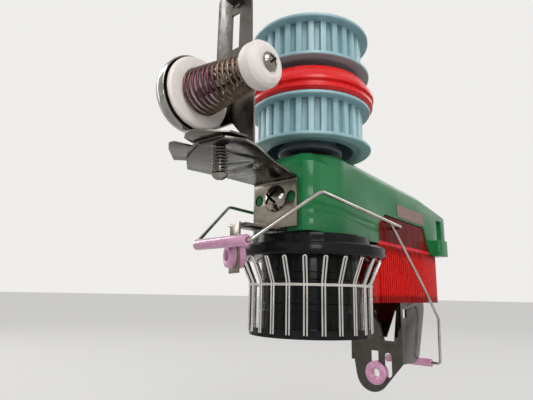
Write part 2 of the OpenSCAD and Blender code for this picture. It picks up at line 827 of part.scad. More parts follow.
// Ear folded forward from the upright, which holds the tensioner's axle
module tension_ear() {
    ear_r = 8.5;
    difference() {
        union() {
            translate([upright_x[0], tension_y, tension_z])
                along_x() cylinder(r = ear_r, h = sheet_t, $fn = 64);
            translate([upright_x[0], tension_y, tension_z - ear_r])
                cube([sheet_t, tension_reach + 0.6, 2 * ear_r]);
        }
        translate([upright_x[0] - 1, tension_y, tension_z])
            along_x() cylinder(r = axle_d / 2 + seat, h = 4, $fn = 48);
    }
}

module upright_screw() {
    color("silver")
    upright_screw_place()
        translate([0, 0, arm_top_z + sheet_t + 2 * seat])
            rotate([180, 0, 0]) domed_screw(2.8, 1.8, 1.5, 4, 0.7);
}

module entry_eyelet() {
    color("orchid")
    translate([entry_at[0], entry_at[1], upright_top_z - sheet_t / 2])
        eyelet(4.2, 1.4, 6, 3, sheet_t + 2 * seat);
}

module tension_axle() {
    head_t = 1.6;
    axle_len = axle_end_x - upright_x[0] + head_t;
    color("silver")
    translate([upright_x[0] - head_t - seat, tension_y, tension_z])
        along_x() {
            difference() {
                cylinder(r = axle_d / 2, h = axle_len, $fn = 48);
                translate([0, 0, axle_len - 8]) cylinder(r = 1.2 + fit, h = 9, $fn = 48);
            }
            cylinder(r = axle_d / 2 + 1.8, h = head_t, $fn = 48);
        }
}

module tension_cup() {
    t = 0.8;
    r = cup_r;
    color("silver")
    translate([cup_x, tension_y, tension_z])
        along_x()
            rotate_extrude($fn = 96)
                polygon(concat(
                    [[axle_d / 2 + seat, 0], [r - 4.5, 0]],
                    arc([r - 4.5, 4.5], 4.5, -90, 0, 8),
                    [[r, cup_depth], [r - t, cup_depth]],
                    arc([r - 4.5, 4.5], 4.5 - t, 0, -90, 8),
                    [[axle_d / 2 + seat, t]]
                ));
}

module tension_disc() {
    bore = axle_d / 2 + 0.1;
    color("white")
    translate([disc_back_x, tension_y, tension_z])
        along_x()
            rotate_extrude($fn = 96)
                polygon([
                    [bore, -3], [axle_d / 2 + 2, -3], [axle_d / 2 + 2, 0], [tension_disc_r - 0.8, 0],
                    [tension_disc_r, 0.8], [tension_disc_r, 1.6], [tension_disc_r - 0.8, disc_t - 0.2],
                    [spring_big_r + 1, disc_t], [bore, disc_t]
                ]);
}

// Centre line of a coil along Z, whose outer radius runs from one value to the other
function coil(r_from, r_to, length, turns, wire_r, per_turn) = [
    for (i = [0 : turns * per_turn])
        let (t = i / (turns * per_turn))
        let (r = r_from + (r_to - r_from) * t - wire_r)
        [r * cos(360 * turns * t), r * sin(360 * turns * t), wire_r + (length - 2 * wire_r) * t]
];

module tension_spring() {
    color("rosybrown")
    translate([spring_x, tension_y, tension_z])
        along_x()
            wire(
                coil(spring_big_r, spring_small_r, spring_len, spring_turns, spring_wire_d / 2, 12),
                spring_wire_d / 2, [0, 0, 1]
            );
}

module tension_knob() {
    bore = axle_d / 2 + 0.05;
    color("white")
    translate([knob_x, tension_y, tension_z])
        along_x()
            rotate_extrude($fn = 96)
                polygon(concat(
                    [[bore, 0], [spring_small_r - spring_wire_d, 0]],
                    arc([knob_r - 1, 1], 1, -90, 0, 4),
                    arc([knob_r - 2, knob_len - 2], 2, 0, 90, 6),
                    [[bore, knob_len]]
                ));
}

module knob_screw() {
    color("silver")
    translate([axle_end_x + seat, tension_y, tension_z])
        rotate([0, -90, 0]) domed_screw(3.8, 2.2, 1.2, 6, 0.9);
}

module catcher_plate_upper() {
    color("gray")
    translate([0, 0, catcher_upper_z])
        linear_extrude(catcher_plate_t)
            difference() {
                polygon([
                    [6, -84], [10, -94], [14, -96.5], [19, -96.5], [28.8, -87], [30, -79], [22, -73.5],
                    [12, -75.5]
                ]);
                translate(catcher_at) circle(r = catcher_screw_r + 0.1, $fn = 48);
            }
}

module catcher_plate_lower() {
    color("gray")
    translate([0, 0, catcher_lower_z])
        linear_extrude(catcher_plate_t)
            difference() {
                polygon([
                    [-14, -81.5], [-3, -92], [2, -95.5], [5, -95], [6.5, -88], [12, -89.5], [25, -88],
                    [27, -79], [12, -71.5], [-8, -75]
                ]);
                translate(catcher_at) circle(r = catcher_screw_r + 0.1, $fn = 48);
            }
}

module catcher_screw() {
    head_r = 3.3;
    color("silver")
    translate([catcher_at[0], catcher_at[1], arm_z - catcher_spring_h - 0.1])
        domed_screw(head_r, 2.2, catcher_screw_r, catcher_nut_z + 3.4 - arm_z + catcher_spring_h, 0.9);
}

module catcher_spring() {
    color("gray")
    translate([catcher_at[0], catcher_at[1], arm_z - catcher_spring_h - 0.05])
        wire(coil(3.3, 3.3, catcher_spring_h, 7, 0.4, 10), 0.4, [0, 0, 1]);
}

module catcher_nut() {
    color("silver")
    translate([catcher_at[0], catcher_at[1], catcher_nut_z])
        difference() {
            hexagon(7, 2.8);
            translate([0, 0, -1]) cylinder(r = catcher_screw_r + fit, h = 5, $fn = 48);
        }
}

function mirrored(points) =
    [for (i = [len(points) - 1 : -1 : 0]) [-points[i][0], points[i][1], points[i][2]]];

// One wire from pivot to pivot: down one side, through the ceramic tube and up the other side
module bail(points, pivot) {
    corner = points[0];
    half = concat([[corner[0] - 2.5, corner[1], corner[2]]], points);
    wire(bent(concat(half, mirrored(half)), 1.8, 3), bail_d / 2 - 0.02, [0, 0.29, 0.96], 8);
    for (s = [-1, 1])
        translate([s > 0 ? pivot_in_x + 0.1 : -corner[0] + 2, pivot[0], pivot[1]])
            along_x() cylinder(r = bail_d / 2, h = corner[0] - 2.1 - pivot_in_x, $fn = 48);
}

module ceramic_tube() {
    color("orchid")
    translate([-tube_len / 2, 0, 0]) along_x() ring(tube_d / 2, bail_d / 2 + 0.1, tube_len);
}

module input_bail() {
    color("silver") bail([input_corner, input_peak, input_low], input_pivot);
}

module output_bail() {
    color("silver") bail([output_corner, output_bend, output_knee, output_low], output_pivot);
}

module input_tube() translate([0, input_low[1], input_low[2]]) ceramic_tube();
module output_tube() translate([0, output_low[1], output_low[2]]) ceramic_tube();

module outlet_screw_places() {
    for (y = outlet_screw_y) translate([0, y, 0]) children();
}

// Front leaf of the outlet plate, drawn as (X, Z)
module outlet_leaf() {
    w = outlet_half_w;
    eyelet_slot = [-1, outlet_top_z - 30.5];
    difference() {
        polygon(concat(
            [[-w, outlet_top_z - sheet_t], [-w, outlet_top_z - 24]],
            arc(outlet_tip_at, outlet_tip_r, 192, 318, 14),
            [[w, outlet_top_z - 36], [w, outlet_top_z - sheet_t]]
        ));
        translate(outlet_eyelet_at) circle(r = outlet_ring_r - 1.8, $fn = 64);
        translate([eyelet_slot[0] - 2.6, outlet_eyelet_at[1] + 1])
            square([5.2, eyelet_slot[1] - outlet_eyelet_at[1]]);
        for (drop = [42, 32.5]) translate([8, outlet_top_z - drop]) circle(r = 2.4, $fn = 48);
        translate([8 - 2.4, outlet_top_z - 42]) square([4.8, 9.5]);
        polygon([
            [-0.5, outlet_top_z - 5], [14.5, outlet_top_z - 5],
            [12.5, outlet_top_z - 23], [6, outlet_top_z - 23]
        ]);
    }
}

// One side wall of the outlet plate, drawn as (Y, Z)
module outlet_wall() {
    top = outlet_top_z;
    side = concat(
        [[outlet_y, top], [outlet_y, top - 36], [outlet_y + 10, top - 36]],
        arc([outlet_y + 17, top - 28], 8, -90, -20, 6),
        [[outlet_y + outlet_depth, top - 5], [outlet_y + outlet_depth, top]]
    );
    along_x()
        linear_extrude(sheet_t)
            difference() {
                polygon(side);
                translate([outlet_y + 3, top - 9]) square([5, 5]);
            }
}

module output_plate() {
    w = outlet_half_w;
    color("gray")
    difference() {
        union() {
            translate([0, outlet_y + sheet_t, 0]) to_front() linear_extrude(sheet_t) outlet_leaf();
            translate([w - sheet_t, 0, 0]) outlet_wall();
            translate([-w, 0, 0]) outlet_wall();
            translate([-w, outlet_y, outlet_top_z - sheet_t]) cube([2 * w, outlet_depth, sheet_t]);
            translate([0, outlet_y + sheet_t / 2, outlet_top_z - 5])
                rotate([-28, 0, 0])
                    translate([0, sheet_t / 2, 0]) to_front()
                        linear_extrude(sheet_t)
                            polygon([[0.5, 0.6], [13.5, 0.6], [11.5, -17], [7, -17]]);
        }
        outlet_screw_places() translate([0, 0, outlet_top_z - 3]) cylinder(r = 1.7, h = 5, $fn = 48);
    }
}

module output_plate_screws() {
    color("silver")
    outlet_screw_places()
        translate([0, 0, outlet_top_z - sheet_t - seat]) domed_screw(2.8, 1.8, 1.5, 6.5, 0.7);
}

module output_eyelet() {
    color("orchid")
    translate([outlet_eyelet_at[0], outlet_y + sheet_t / 2, outlet_eyelet_at[1]])
        to_front() eyelet(outlet_ring_r, 2.6, 5.4, outlet_ring_r - 1.8 - seat, sheet_t + 2 * seat);
}

module spindle() {
    bottom_z = 0.8;
    color("silver") {
        translate([0, 0, bottom_z]) cylinder(r = spindle_r, h = spindle_top_z - bottom_z, $fn = 96);
        translate([0, 0, lower_bearing_z + bearing_w + 2 * seat])
            cylinder(
                r = shoulder_r, h = upper_bearing_z - lower_bearing_z - bearing_w - 3 * seat, $fn = 96
            );
    }
}

module drive_sleeve() {
    low = lower_pulley_z + pulley_bearing_z + bearing_w + seat;
    high = upper_bearing_in_pulley_z - seat;
    hex_low = lower_pulley_top_z + 0.2;
    hex_high = upper_pulley_z - 0.2;
    color("silver")
    difference() {
        union() {
            translate([0, 0, low]) cylinder(r = spindle_r + 1.8, h = high - low, $fn = 64);
            translate([0, 0, hex_low]) hexagon(sleeve_af, hex_high - hex_low);
        }
        cylinder(r = spindle_r + fit, h = spindle_top_z, $fn = 96);
    }
}

module collar() {
    neck_low = upper_bearing_z + bearing_w + seat;
    neck_high = lower_pulley_z + pulley_bearing_z - seat;
    color("lightslategray")
    rotate_extrude($fn = 96)
        polygon([
            [spindle_r + fit, neck_low], [shoulder_r, neck_low], [shoulder_r, collar_z],
            [collar_r - 0.8, collar_z], [collar_r, collar_z + 0.8], [collar_r, collar_z + collar_h],
            [shoulder_r, collar_z + collar_h], [shoulder_r, neck_high], [spindle_r + fit, neck_high]
        ]);
}

module wheel_disc() {
    lip = 1;
    rim_top = disc_z + disc_rim_h;
    neck_top = lower_bearing_z;
    color("black")
    rotate_extrude($fn = 128)
        polygon([
            [spindle_r + fit, core_h + seat], [core_r + 1.5, core_h + seat], [core_r + 1.5, disc_z],
            [disc_r - lip, disc_z], [disc_r, disc_z + lip], [disc_r, rim_top - lip],
            [disc_r - lip, rim_top], [disc_step_r, rim_top], [disc_step_r - 0.5, disc_top_z],
            [shoulder_r, disc_top_z], [shoulder_r, neck_top], [spindle_r + fit, neck_top]
        ]);
}

module wheel_core() {
    foot_r = pin_circle_r - 0.2;
    groove = 0.5;
    color("black")
    difference() {
        rotate_extrude($fn = 128)
            polygon([
                [spindle_r + fit, web_z], [core_r - core_wall - 4, web_z], [core_r - core_wall - 2, 0],
                [foot_r, 0], [foot_r, foot_h], [core_r, foot_h], [core_r, 12],
                [core_r - groove, 12.5], [core_r - groove, 15.5], [core_r, 16], [core_r, 27],
                [core_r - groove, 27.5], [core_r - groove, 30.5], [core_r, 31], [core_r, core_h],
                [core_r - core_wall, core_h], [core_r - core_wall, web_z + web_t],
                [spindle_r + 5, web_z + web_t], [spindle_r + 5, core_h], [spindle_r + fit, core_h]
            ]);
        pin_places()
            for (s = [-1, 1])
                translate([pin_circle_r, s * pin_leg_gap / 2, -1])
                    cylinder(r = pin_wire_d / 2 + 0.08, h = foot_h + 2, $fn = 24);
    }
}

module pin_places() {
    for (i = [0 : pin_count - 1]) rotate([0, 0, pin_turn + 360 * i / pin_count]) children();
}

// One hairpin: two legs, leaning outwards above the kink and joined by a round closed end
module hairpin() {
    wire_r = pin_wire_d / 2;
    leg = pin_leg_gap / 2;
    tip_z = disc_z - wire_r - 0.1;
    path = [
        [pin_circle_r, -leg, 1.8],
        [pin_circle_r, -leg, pin_kink_z],
        [pin_tip_r, -leg, tip_z],
        [pin_tip_r, leg, tip_z],
        [pin_circle_r, leg, pin_kink_z],
        [pin_circle_r, leg, foot_h - 0.4]
    ];
    wire(bent(path, leg * 0.9, 3), wire_r, [1, 0, 0]);
}

module wheel_pins() {
    color("silver") pin_places() hairpin();
}

// Turns of yarn that lie straight from hairpin to hairpin
module yarn_reserve() {
    inner = pin_circle_r + pin_wire_d / 2 + 0.3;
    thickness = 0.5;
    function loop(r) = [for (i = [0 : pin_count - 1]) polar(r, pin_turn + 360 * i / pin_count)];
    color("ivory")
    translate([0, 0, pin_kink_z - yarn_band_h - 0.6])
        linear_extrude(yarn_band_h)
            difference() {
                polygon(loop(inner + thickness));
                polygon(loop(inner));
            }
}

module nut(af, h) {
    difference() {
        hexagon(af, h);
        translate([0, 0, -1]) cylinder(r = spindle_r + fit, h = h + 2, $fn = 64);
    }
}

module wheel_nut() color("silver") translate([0, 0, web_z - nut_h - seat]) nut(13, nut_h);
module top_nut() color("silver") translate([0, 0, top_nut_z]) nut(13, top_nut_h);

// Corners of the toothed rim, four for each tooth
module tooth_outline() {
    root_half = (tooth_w * 1.25 / 2) / tooth_root_r * 180 / PI;
    tip_half = (tooth_w / 2) / tooth_tip_r * 180 / PI;
    polygon([
        for (i = [0 : tooth_count - 1])
            let (a = 360 * i / tooth_count)
            for (p = [
                polar(tooth_root_r, a - root_half), polar(tooth_tip_r, a - tip_half),
                polar(tooth_tip_r, a + tip_half), polar(tooth_root_r, a + root_half)
            ]) p
    ]);
}

// Moulded pulley, hollow from below, with driving dogs on its closed face
module pulley() {
    hub_r = bearing_r + 3.5;
    floor_z = pulley_h - pulley_web_t;
    lip_r = spindle_r + 4.5;
    rim = flange_t + 0.5;
    color("cadetblue")
    difference() {
        union() {
            translate([0, 0, flange_t / 2]) linear_extrude(pulley_h - flange_t) tooth_outline();
            for (z = [0, pulley_h - flange_t])
                translate([0, 0, z])
                    rotate_extrude($fn = 128)
                        polygon([
                            [0, 0], [flange_r - 0.4, 0], [flange_r, 0.4], [flange_r, flange_t - 0.4],
                            [flange_r - 0.4, flange_t], [0, flange_t]
                        ]);
            for (a = [0 : 90 : 270])
                rotate([0, 0, a])
                    translate([dog_r - dog_size[0] / 2, -dog_size[1] / 2, pulley_h - 0.5])
                        cube([dog_size[0], dog_size[1], dog_h + 0.5]);
        }
        difference() {
            translate([0, 0, -1]) cylinder(r = pulley_hollow_r, h = floor_z + 1, $fn = 96);
            translate([0, 0, rim]) cylinder(r = hub_r, h = pulley_h, $fn = 96);
            for (a = [30 : 60 : 330])
                rotate([0, 0, a])
                    translate([hub_r - 1, -1, pulley_bearing_z])
                        cube([pulley_hollow_r - hub_r + 2, 2, pulley_h]);
        }
        translate([0, 0, -1])
            cylinder(r = bearing_r + seat, h = pulley_bearing_z + bearing_w + seat + 1, $fn = 96);
        cylinder(r = lip_r, h = pulley_h + dog_h, $fn = 96);
    }
}

module lower_pulley() translate([0, 0, lower_pulley_z]) pulley();
module lower_pulley_bearing() translate([0, 0, lower_pulley_z + pulley_bearing_z]) bearing();
module upper_pulley() translate([0, 0, upper_pulley_z + pulley_h]) mirror([0, 0, 1]) pulley();
module upper_pulley_bearing() translate([0, 0, upper_bearing_in_pulley_z]) bearing();

// Sliding disc: a finger groove outside, a hexagon inside and pockets for the dogs on both faces
module clutch_disc() {
    pocket_h = dog_h + 0.4;
    pocket = [dog_size[0] + dog_play, dog_size[1] + dog_play];
    profile = [
        [0, 0], [clutch_r - 2.5, 0], [clutch_r - 0.6, 1.2], [clutch_r - 0.5, 2.7],
        [clutch_r - 1.7, 3.5], [clutch_r - 1.7, 4.3], [clutch_r, 5], [clutch_r, 6.6],
        [clutch_r - 1.4, 8.6], [clutch_r - 3.4, clutch_h - 2.6], [clutch_r - 5.4, clutch_h - 0.4],
        [clutch_r - 6.4, clutch_h], [0, clutch_h]
    ];
    color("red")
    translate([0, 0, clutch_z])
        difference() {
            rotate_extrude($fn = 128) polygon(profile);
            translate([0, 0, -1]) hexagon(sleeve_af + 0.2, clutch_h + 2);
            for (a = [0 : 90 : 270])
                rotate([0, 0, a])
                    for (z = [-1, clutch_h - pocket_h])
                        translate([dog_r - pocket[0] / 2, -pocket[1] / 2, z])
                            cube([pocket[0], pocket[1], pocket_h + 1]);
        }
}

// The origin is the middle of the slot's roof, where the feeder sits on the ring
module on_ring() translate([0, -ring_y, -seat_z]) children();

on_ring() housing();
on_ring() housing_base();
on_ring() cover_screws();
on_ring() name_panel();
on_ring() signal_lens();
on_ring() lamp();
on_ring() lamp_board();
on_ring() input_switch();
on_ring() output_switch();
on_ring() contact_carrier();
on_ring() contact_pins();
on_ring() clamp_screw();
on_ring() upper_bearing();
on_ring() lower_bearing();
on_ring() shaft_seal();
on_ring() inlet_bracket();
on_ring() bracket_screw();
on_ring() eyelet_bracket();
on_ring() input_eyelet();
on_ring() upright_plate();
on_ring() upright_screw();
on_ring() entry_eyelet();
on_ring() tension_axle();
on_ring() tension_cup();
on_ring() tension_disc();
on_ring() tension_spring();
on_ring() tension_knob();
on_ring() knob_screw();
on_ring() catcher_plate_upper();
on_ring() catcher_plate_lower();
on_ring() catcher_screw();
on_ring() catcher_spring();
on_ring() catcher_nut();
on_ring() input_bail();
on_ring() input_tube();
on_ring() output_plate();
on_ring() output_plate_screws();
on_ring() output_eyelet();
on_ring() output_bail();
on_ring() output_tube();
on_ring() spindle();
on_ring() drive_sleeve();
on_ring() collar();
on_ring() wheel_disc();
on_ring() wheel_core();
on_ring() wheel_pins();
on_ring() yarn_reserve();
on_ring() wheel_nut();
on_ring() top_nut();
on_ring() lower_pulley();
on_ring() lower_pulley_bearing();
on_ring() upper_pulley();
on_ring() upper_pulley_bearing();
on_ring() clutch_disc();
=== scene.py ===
"""Looks of a positive yarn feeder: finishes, bent wires, wound yarn, studio and camera.

Fields are in millimetres, heights count from the foot of the yarn wheel, and Y counts from the
wheel's axis. Meshes are in metres in the row frame.
"""

import json
import logging
import math
from dataclasses import dataclass, field
from enum import Enum
from typing import Any, Sequence

import bmesh
import bpy
from mathutils import Matrix, Vector

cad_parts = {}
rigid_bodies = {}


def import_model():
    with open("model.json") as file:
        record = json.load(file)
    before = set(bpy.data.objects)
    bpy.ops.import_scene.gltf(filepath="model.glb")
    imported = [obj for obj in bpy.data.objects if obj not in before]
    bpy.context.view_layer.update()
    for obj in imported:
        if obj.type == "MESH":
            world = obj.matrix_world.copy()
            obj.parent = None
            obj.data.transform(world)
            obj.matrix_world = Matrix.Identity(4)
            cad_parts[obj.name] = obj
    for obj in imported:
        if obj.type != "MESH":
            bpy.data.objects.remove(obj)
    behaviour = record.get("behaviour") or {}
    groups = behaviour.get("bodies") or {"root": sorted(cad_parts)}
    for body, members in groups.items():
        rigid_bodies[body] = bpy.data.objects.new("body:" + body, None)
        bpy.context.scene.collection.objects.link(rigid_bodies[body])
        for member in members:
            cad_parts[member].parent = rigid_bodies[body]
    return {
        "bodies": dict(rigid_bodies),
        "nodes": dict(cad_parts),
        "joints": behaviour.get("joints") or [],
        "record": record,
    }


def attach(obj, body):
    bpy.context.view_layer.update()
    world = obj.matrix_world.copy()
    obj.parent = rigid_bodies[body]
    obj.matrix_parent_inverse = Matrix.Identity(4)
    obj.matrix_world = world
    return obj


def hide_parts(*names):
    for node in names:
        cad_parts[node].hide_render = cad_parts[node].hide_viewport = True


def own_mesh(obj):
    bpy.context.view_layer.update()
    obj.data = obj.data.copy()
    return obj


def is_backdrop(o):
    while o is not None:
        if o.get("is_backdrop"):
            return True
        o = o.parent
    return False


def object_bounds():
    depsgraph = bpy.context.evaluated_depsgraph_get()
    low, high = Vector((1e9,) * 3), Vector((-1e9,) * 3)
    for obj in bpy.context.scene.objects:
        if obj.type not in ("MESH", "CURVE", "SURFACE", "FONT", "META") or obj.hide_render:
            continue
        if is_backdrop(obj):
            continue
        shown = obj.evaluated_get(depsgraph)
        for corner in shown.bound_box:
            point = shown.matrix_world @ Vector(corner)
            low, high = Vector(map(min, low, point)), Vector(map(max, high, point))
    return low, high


MM = 0.001
LOG = logging.getLogger("yarn_feeder")
DOUBLES = 0.002  # millimetres within which the points of a turned mesh are one
TURNED_SHARP = 40.0  # degrees from which an edge of a turned mesh is sharp
WAVE_LENGTH = 0.314  # of the wave texture at scale 1
MIX_BELOW, MIX_ABOVE, MIX_RESULT = 6, 7, 2  # colour sockets of the Mix node

Color = tuple[float, float, float]
Place = tuple[float, float, float]
Profile = Sequence[tuple[float, float]]
Socket = bpy.types.NodeSocket


def srgb(red: int, green: int, blue: int) -> Color:
    """Linear colour of a screen colour.

    Args:
        red: Red from 0 to 255.
        green: Green from 0 to 255.
        blue: Blue from 0 to 255.

    Returns:
        The three linear values.
    """

    def linear(value: int) -> float:
        """Linear value of one screen value."""
        share = value / 255
        return share / 12.92 if share <= 0.04045 else ((share + 0.055) / 1.055) ** 2.4

    return (linear(red), linear(green), linear(blue))


def mixed(color: Color, other: Color, share: float) -> Color:
    """Colour that lies a share of the way from one colour to another."""
    return tuple(a + (b - a) * share for a, b in zip(color, other))


@dataclass(frozen=True)
class Layout:
    """Where the wheel's axis and foot lie in the row frame."""

    wheel_y: float = -144.2
    foot_z: float = -77.5

    def at(self, x: float, y: float, z: float) -> Vector:
        """Point of the row frame, in metres, for a place given from the wheel's foot."""
        return Vector((x, y + self.wheel_y, z + self.foot_z)) * MM


LAYOUT = Layout()


class Grain(Enum):
    """Direction in which a sheet was rolled or ground."""

    ALONG_X = (0.02, 1.0, 1.0)
    ALONG_Z = (1.0, 1.0, 0.02)
    NONE = (1.0, 1.0, 1.0)


def fill(node: bpy.types.Node, **values: Any) -> None:
    """Set or link a node's inputs.

    Args:
        node: The node.
        values: Value, colour or source of each input; an underscore in its name is a space.
    """
    for key, value in values.items():
        socket = node.inputs[key.replace("_", " ")]
        if isinstance(value, Socket):
            socket.id_data.links.new(value, socket)
        elif socket.type == "RGBA":
            socket.default_value = (*value, 1.0)
        else:
            socket.default_value = value


def add_node(tree: bpy.types.NodeTree, kind: str, **values: Any) -> bpy.types.Node:
    """Add a node and set or link its inputs.

    Args:
        tree: The nodes that it joins.
        kind: Its type, without the word that all shader nodes start with.
        values: Value, colour or source of each input.

    Returns:
        The new node.
    """
    node = tree.nodes.new(f"ShaderNode{kind}")
    fill(node, **values)
    return node


class Graph:
    """The nodes of one material, added and linked by short calls."""

    def __init__(self, name: str) -> None:
        """Make the material and keep its tree, shader and coordinates.

        Args:
            name: Name of the material.
        """
        self.material = bpy.data.materials.new(name)
        self.material.use_nodes = True
        self.tree = self.material.node_tree
        self.shader = self.tree.nodes["Principled BSDF"]
        self.place = self.node("TexCoord").outputs["Object"]

    def node(self, kind: str, **values: Any) -> bpy.types.Node:
        """Add a node to the material; see add_node."""
        return add_node(self.tree, kind, **values)

    def set(self, **values: Any) -> None:
        """Set or link the shader's inputs; see fill."""
        fill(self.shader, **values)

    def mapped(self, stretch: Place) -> Socket:
        """Object coordinates stretched along the axes.

        Args:
            stretch: Factor along X, Y and Z.

        Returns:
            The stretched coordinates.
        """
        return self.node("Mapping", Scale=stretch, Vector=self.place).outputs["Vector"]

    def noise(self, size: float, detail: float, stretch: Place = (1, 1, 1)) -> Socket:
        """Noise whose blotches are about as large as asked.

        Args:
            size: Size of a blotch in millimetres.
            detail: Number of finer layers.
            stretch: Stretch of the coordinates along X, Y and Z.

        Returns:
            The noise from 0 to 1.
        """
        place = self.mapped(stretch)
        node = self.node("TexNoise", Scale=1 / (size * MM), Detail=detail, Vector=place)
        return node.outputs["Fac"]

    def cells(self, size: float) -> Socket:
        """Distance to the nearest of scattered points, for specks and pores.

        Args:
            size: Usual distance between the points in millimetres.

        Returns:
            The distance, 0 at a point.
        """
        node = self.node("TexVoronoi", Scale=1 / (size * MM), Vector=self.place)
        return node.outputs["Distance"]

    def wave(self, period: float, axis: str, distortion: float) -> Socket:
        """Even ribs across one axis.

        Args:
            period: Distance between ribs in millimetres.
            axis: X, Y or Z.
            distortion: How far the ribs wander.

        Returns:
            The wave from 0 to 1.
        """
        scale = WAVE_LENGTH / (period * MM)
        node = self.node("TexWave", Scale=scale, Distortion=distortion, Vector=self.place)
        node.bands_direction = axis
        return node.outputs["Fac"]

    def height(self, low: float, high: float) -> Socket:
        """Height over the wheel's foot, from 0 at one level to 1 at another.

        Args:
            low: Level that gives 0, in millimetres.
            high: Level that gives 1, in millimetres.

        Returns:
            The share of the way up.
        """
        level = self.node("SeparateXYZ", Vector=self.place).outputs["Z"]
        bottom, top = LAYOUT.at(0, 0, low).z, LAYOUT.at(0, 0, high).z
        return self.spread(level, 0.0, 1.0, start=bottom, end=top)

    def radius(self) -> Socket:
        """Distance from the wheel's axis in metres.

        Returns:
            The distance.
        """
        flat = self.node("VectorMath")
        flat.operation = "MULTIPLY_ADD"
        flat.inputs[1].default_value = (1.0, 1.0, 0.0)
        flat.inputs[2].default_value = (0.0, -LAYOUT.wheel_y * MM, 0.0)
        self.tree.links.new(self.place, flat.inputs[0])
        reach = self.node("VectorMath")
        reach.operation = "LENGTH"
        self.tree.links.new(flat.outputs[0], reach.inputs[0])
        return reach.outputs["Value"]

    def near(self, point: Place, reach: float, core: float = 0.55) -> Socket:
        """Closeness to a place: 1 there and 0 from a distance on.

        Args:
            point: The place in millimetres from the wheel's foot.
            reach: The distance in millimetres.
            core: Share of the distance up to which the closeness stays 1.

        Returns:
            The closeness.
        """
        node = self.node("VectorMath")
        node.operation = "DISTANCE"
        self.tree.links.new(self.place, node.inputs[0])
        node.inputs[1].default_value = tuple(LAYOUT.at(*point))
        away = node.outputs["Value"]
        return self.spread(away, 1.0, 0.0, start=reach * MM * core, end=reach * MM)

    def spread(
        self, value: Socket, low: float, high: float, start: float = 0.3, end: float = 0.7
    ) -> Socket:
        """Map one range of a value, such as the middle of a noise, to another.

        Args:
            value: The value.
            low: Result at start.
            high: Result at end.
            start: Value that gives low.
            end: Value that gives high.

        Returns:
            The mapped value.
        """
        node = self.node(
            "MapRange", Value=value, From_Min=start, From_Max=end, To_Min=low, To_Max=high
        )
        return node.outputs["Result"]

    def tone(self, value: Socket, stops: Sequence[tuple[float, Color]]) -> None:
        """Give the shader colours that follow a value.

        Args:
            value: The value.
            stops: Place and colour of each stop, in rising order.
        """
        node = self.node("ValToRGB", Fac=value)
        elements = node.color_ramp.elements
        while len(elements) < len(stops):
            elements.new(0.5)
        for element, (place, color) in zip(elements, stops):
            element.position = place
            element.color = (*color, 1.0)
        self.set(Base_Color=node.outputs["Color"])

    def blotches(
        self, size: float, detail: float, low: Color, high: Color,
        start: float = 0.3, end: float = 0.7,
    ) -> None:
        """Give the shader two colours that run into each other in blotches.

        Args:
            size: Size of a blotch in millimetres.
            detail: Number of finer layers.
            low: Colour where the noise is low.
            high: Colour where it is high.
            start: Noise value up to which the first colour stays.
            end: Noise value from which on the second one stays.
        """
        self.tone(self.noise(size, detail), [(start, low), (end, high)])

    def cover(self, factor: Socket, color: Color) -> None:
        """Lay a colour over the shader's present ones.

        Args:
            factor: Where it lies, from 0 to 1.
            color: The colour.
        """
        present = self.shader.inputs["Base Color"].links[0].from_socket
        node = self.node("Mix", Factor=factor)
        node.data_type = "RGBA"
        self.tree.links.new(present, node.inputs[MIX_BELOW])
        node.inputs[MIX_ABOVE].default_value = (*color, 1.0)
        self.set(Base_Color=node.outputs[MIX_RESULT])

    def gloss(self, size: float, detail: float, low: float, high: float) -> None:
        """Let the roughness wander between two values in blotches."""
        self.set(Roughness=self.spread(self.noise(size, detail), low, high))

    def bump(self, height: Socket, strength: float, depth: float) -> None:
        """Lay a bump over those that the shader has.

        Args:
            height: Height of the surface, from 0 to 1.
            strength: Share of the bump that shows.
            depth: Its depth in millimetres.
        """
        node = self.node("Bump", Strength=strength, Distance=depth * MM, Height=height)
        for below in self.shader.inputs["Normal"].links:
            fill(node, Normal=below.from_socket)
        self.set(Normal=node.outputs["Normal"])


@dataclass(frozen=True)
class Finish:
    """A finish with its name, the record's slot, its colour and its roughness."""

    name: str
    slot: str
    color: Color
    roughness: float = 0.3

    def make(self) -> bpy.types.Material:
        """Build the finish once and return its material."""
        known = bpy.data.materials.get(self.name)
        if known is not None:
            return known
        graph = Graph(self.name)
        graph.set(Base_Color=self.color, Roughness=self.roughness)
        self.dress(graph)
        return graph.material

    def dress(self, graph: Graph) -> None:
        """Add the nodes of this kind of finish."""
        raise NotImplementedError

    def darker(self, share: float) -> Color:
        """The finish's colour, a share of the way to black."""
        return mixed(self.color, (0, 0, 0), share)

    def lighter(self, share: float) -> Color:
        """The finish's colour, a share of the way to white."""
        return mixed(self.color, (1, 1, 1), share)


@dataclass(frozen=True)
class Enamel(Finish):
    """Thick glossy enamel sprayed on a casting."""

    dust_and_shade: Color = srgb(72, 136, 96)

    def dress(self, graph: Graph) -> None:
        """Lay uneven colour, thin dust, the casting's waves, orange peel and pores."""
        graph.blotches(26, 4, low=self.darker(0.14), high=self.lighter(0.03))
        graph.cover(graph.spread(graph.noise(3.5, 6), 0.0, 0.14, start=0.52, end=0.8), self.dust_and_shade)
        graph.gloss(9, 5, low=0.13, high=0.27)
        graph.bump(graph.noise(14, 2), strength=0.25, depth=0.16)
        graph.bump(graph.noise(1.1, 2), strength=0.18, depth=0.02)
        graph.bump(graph.cells(2.6), strength=0.05, depth=0.02)
        graph.set(Coat_Weight=0.12, Coat_Roughness=0.05, Specular_IOR_Level=0.12)


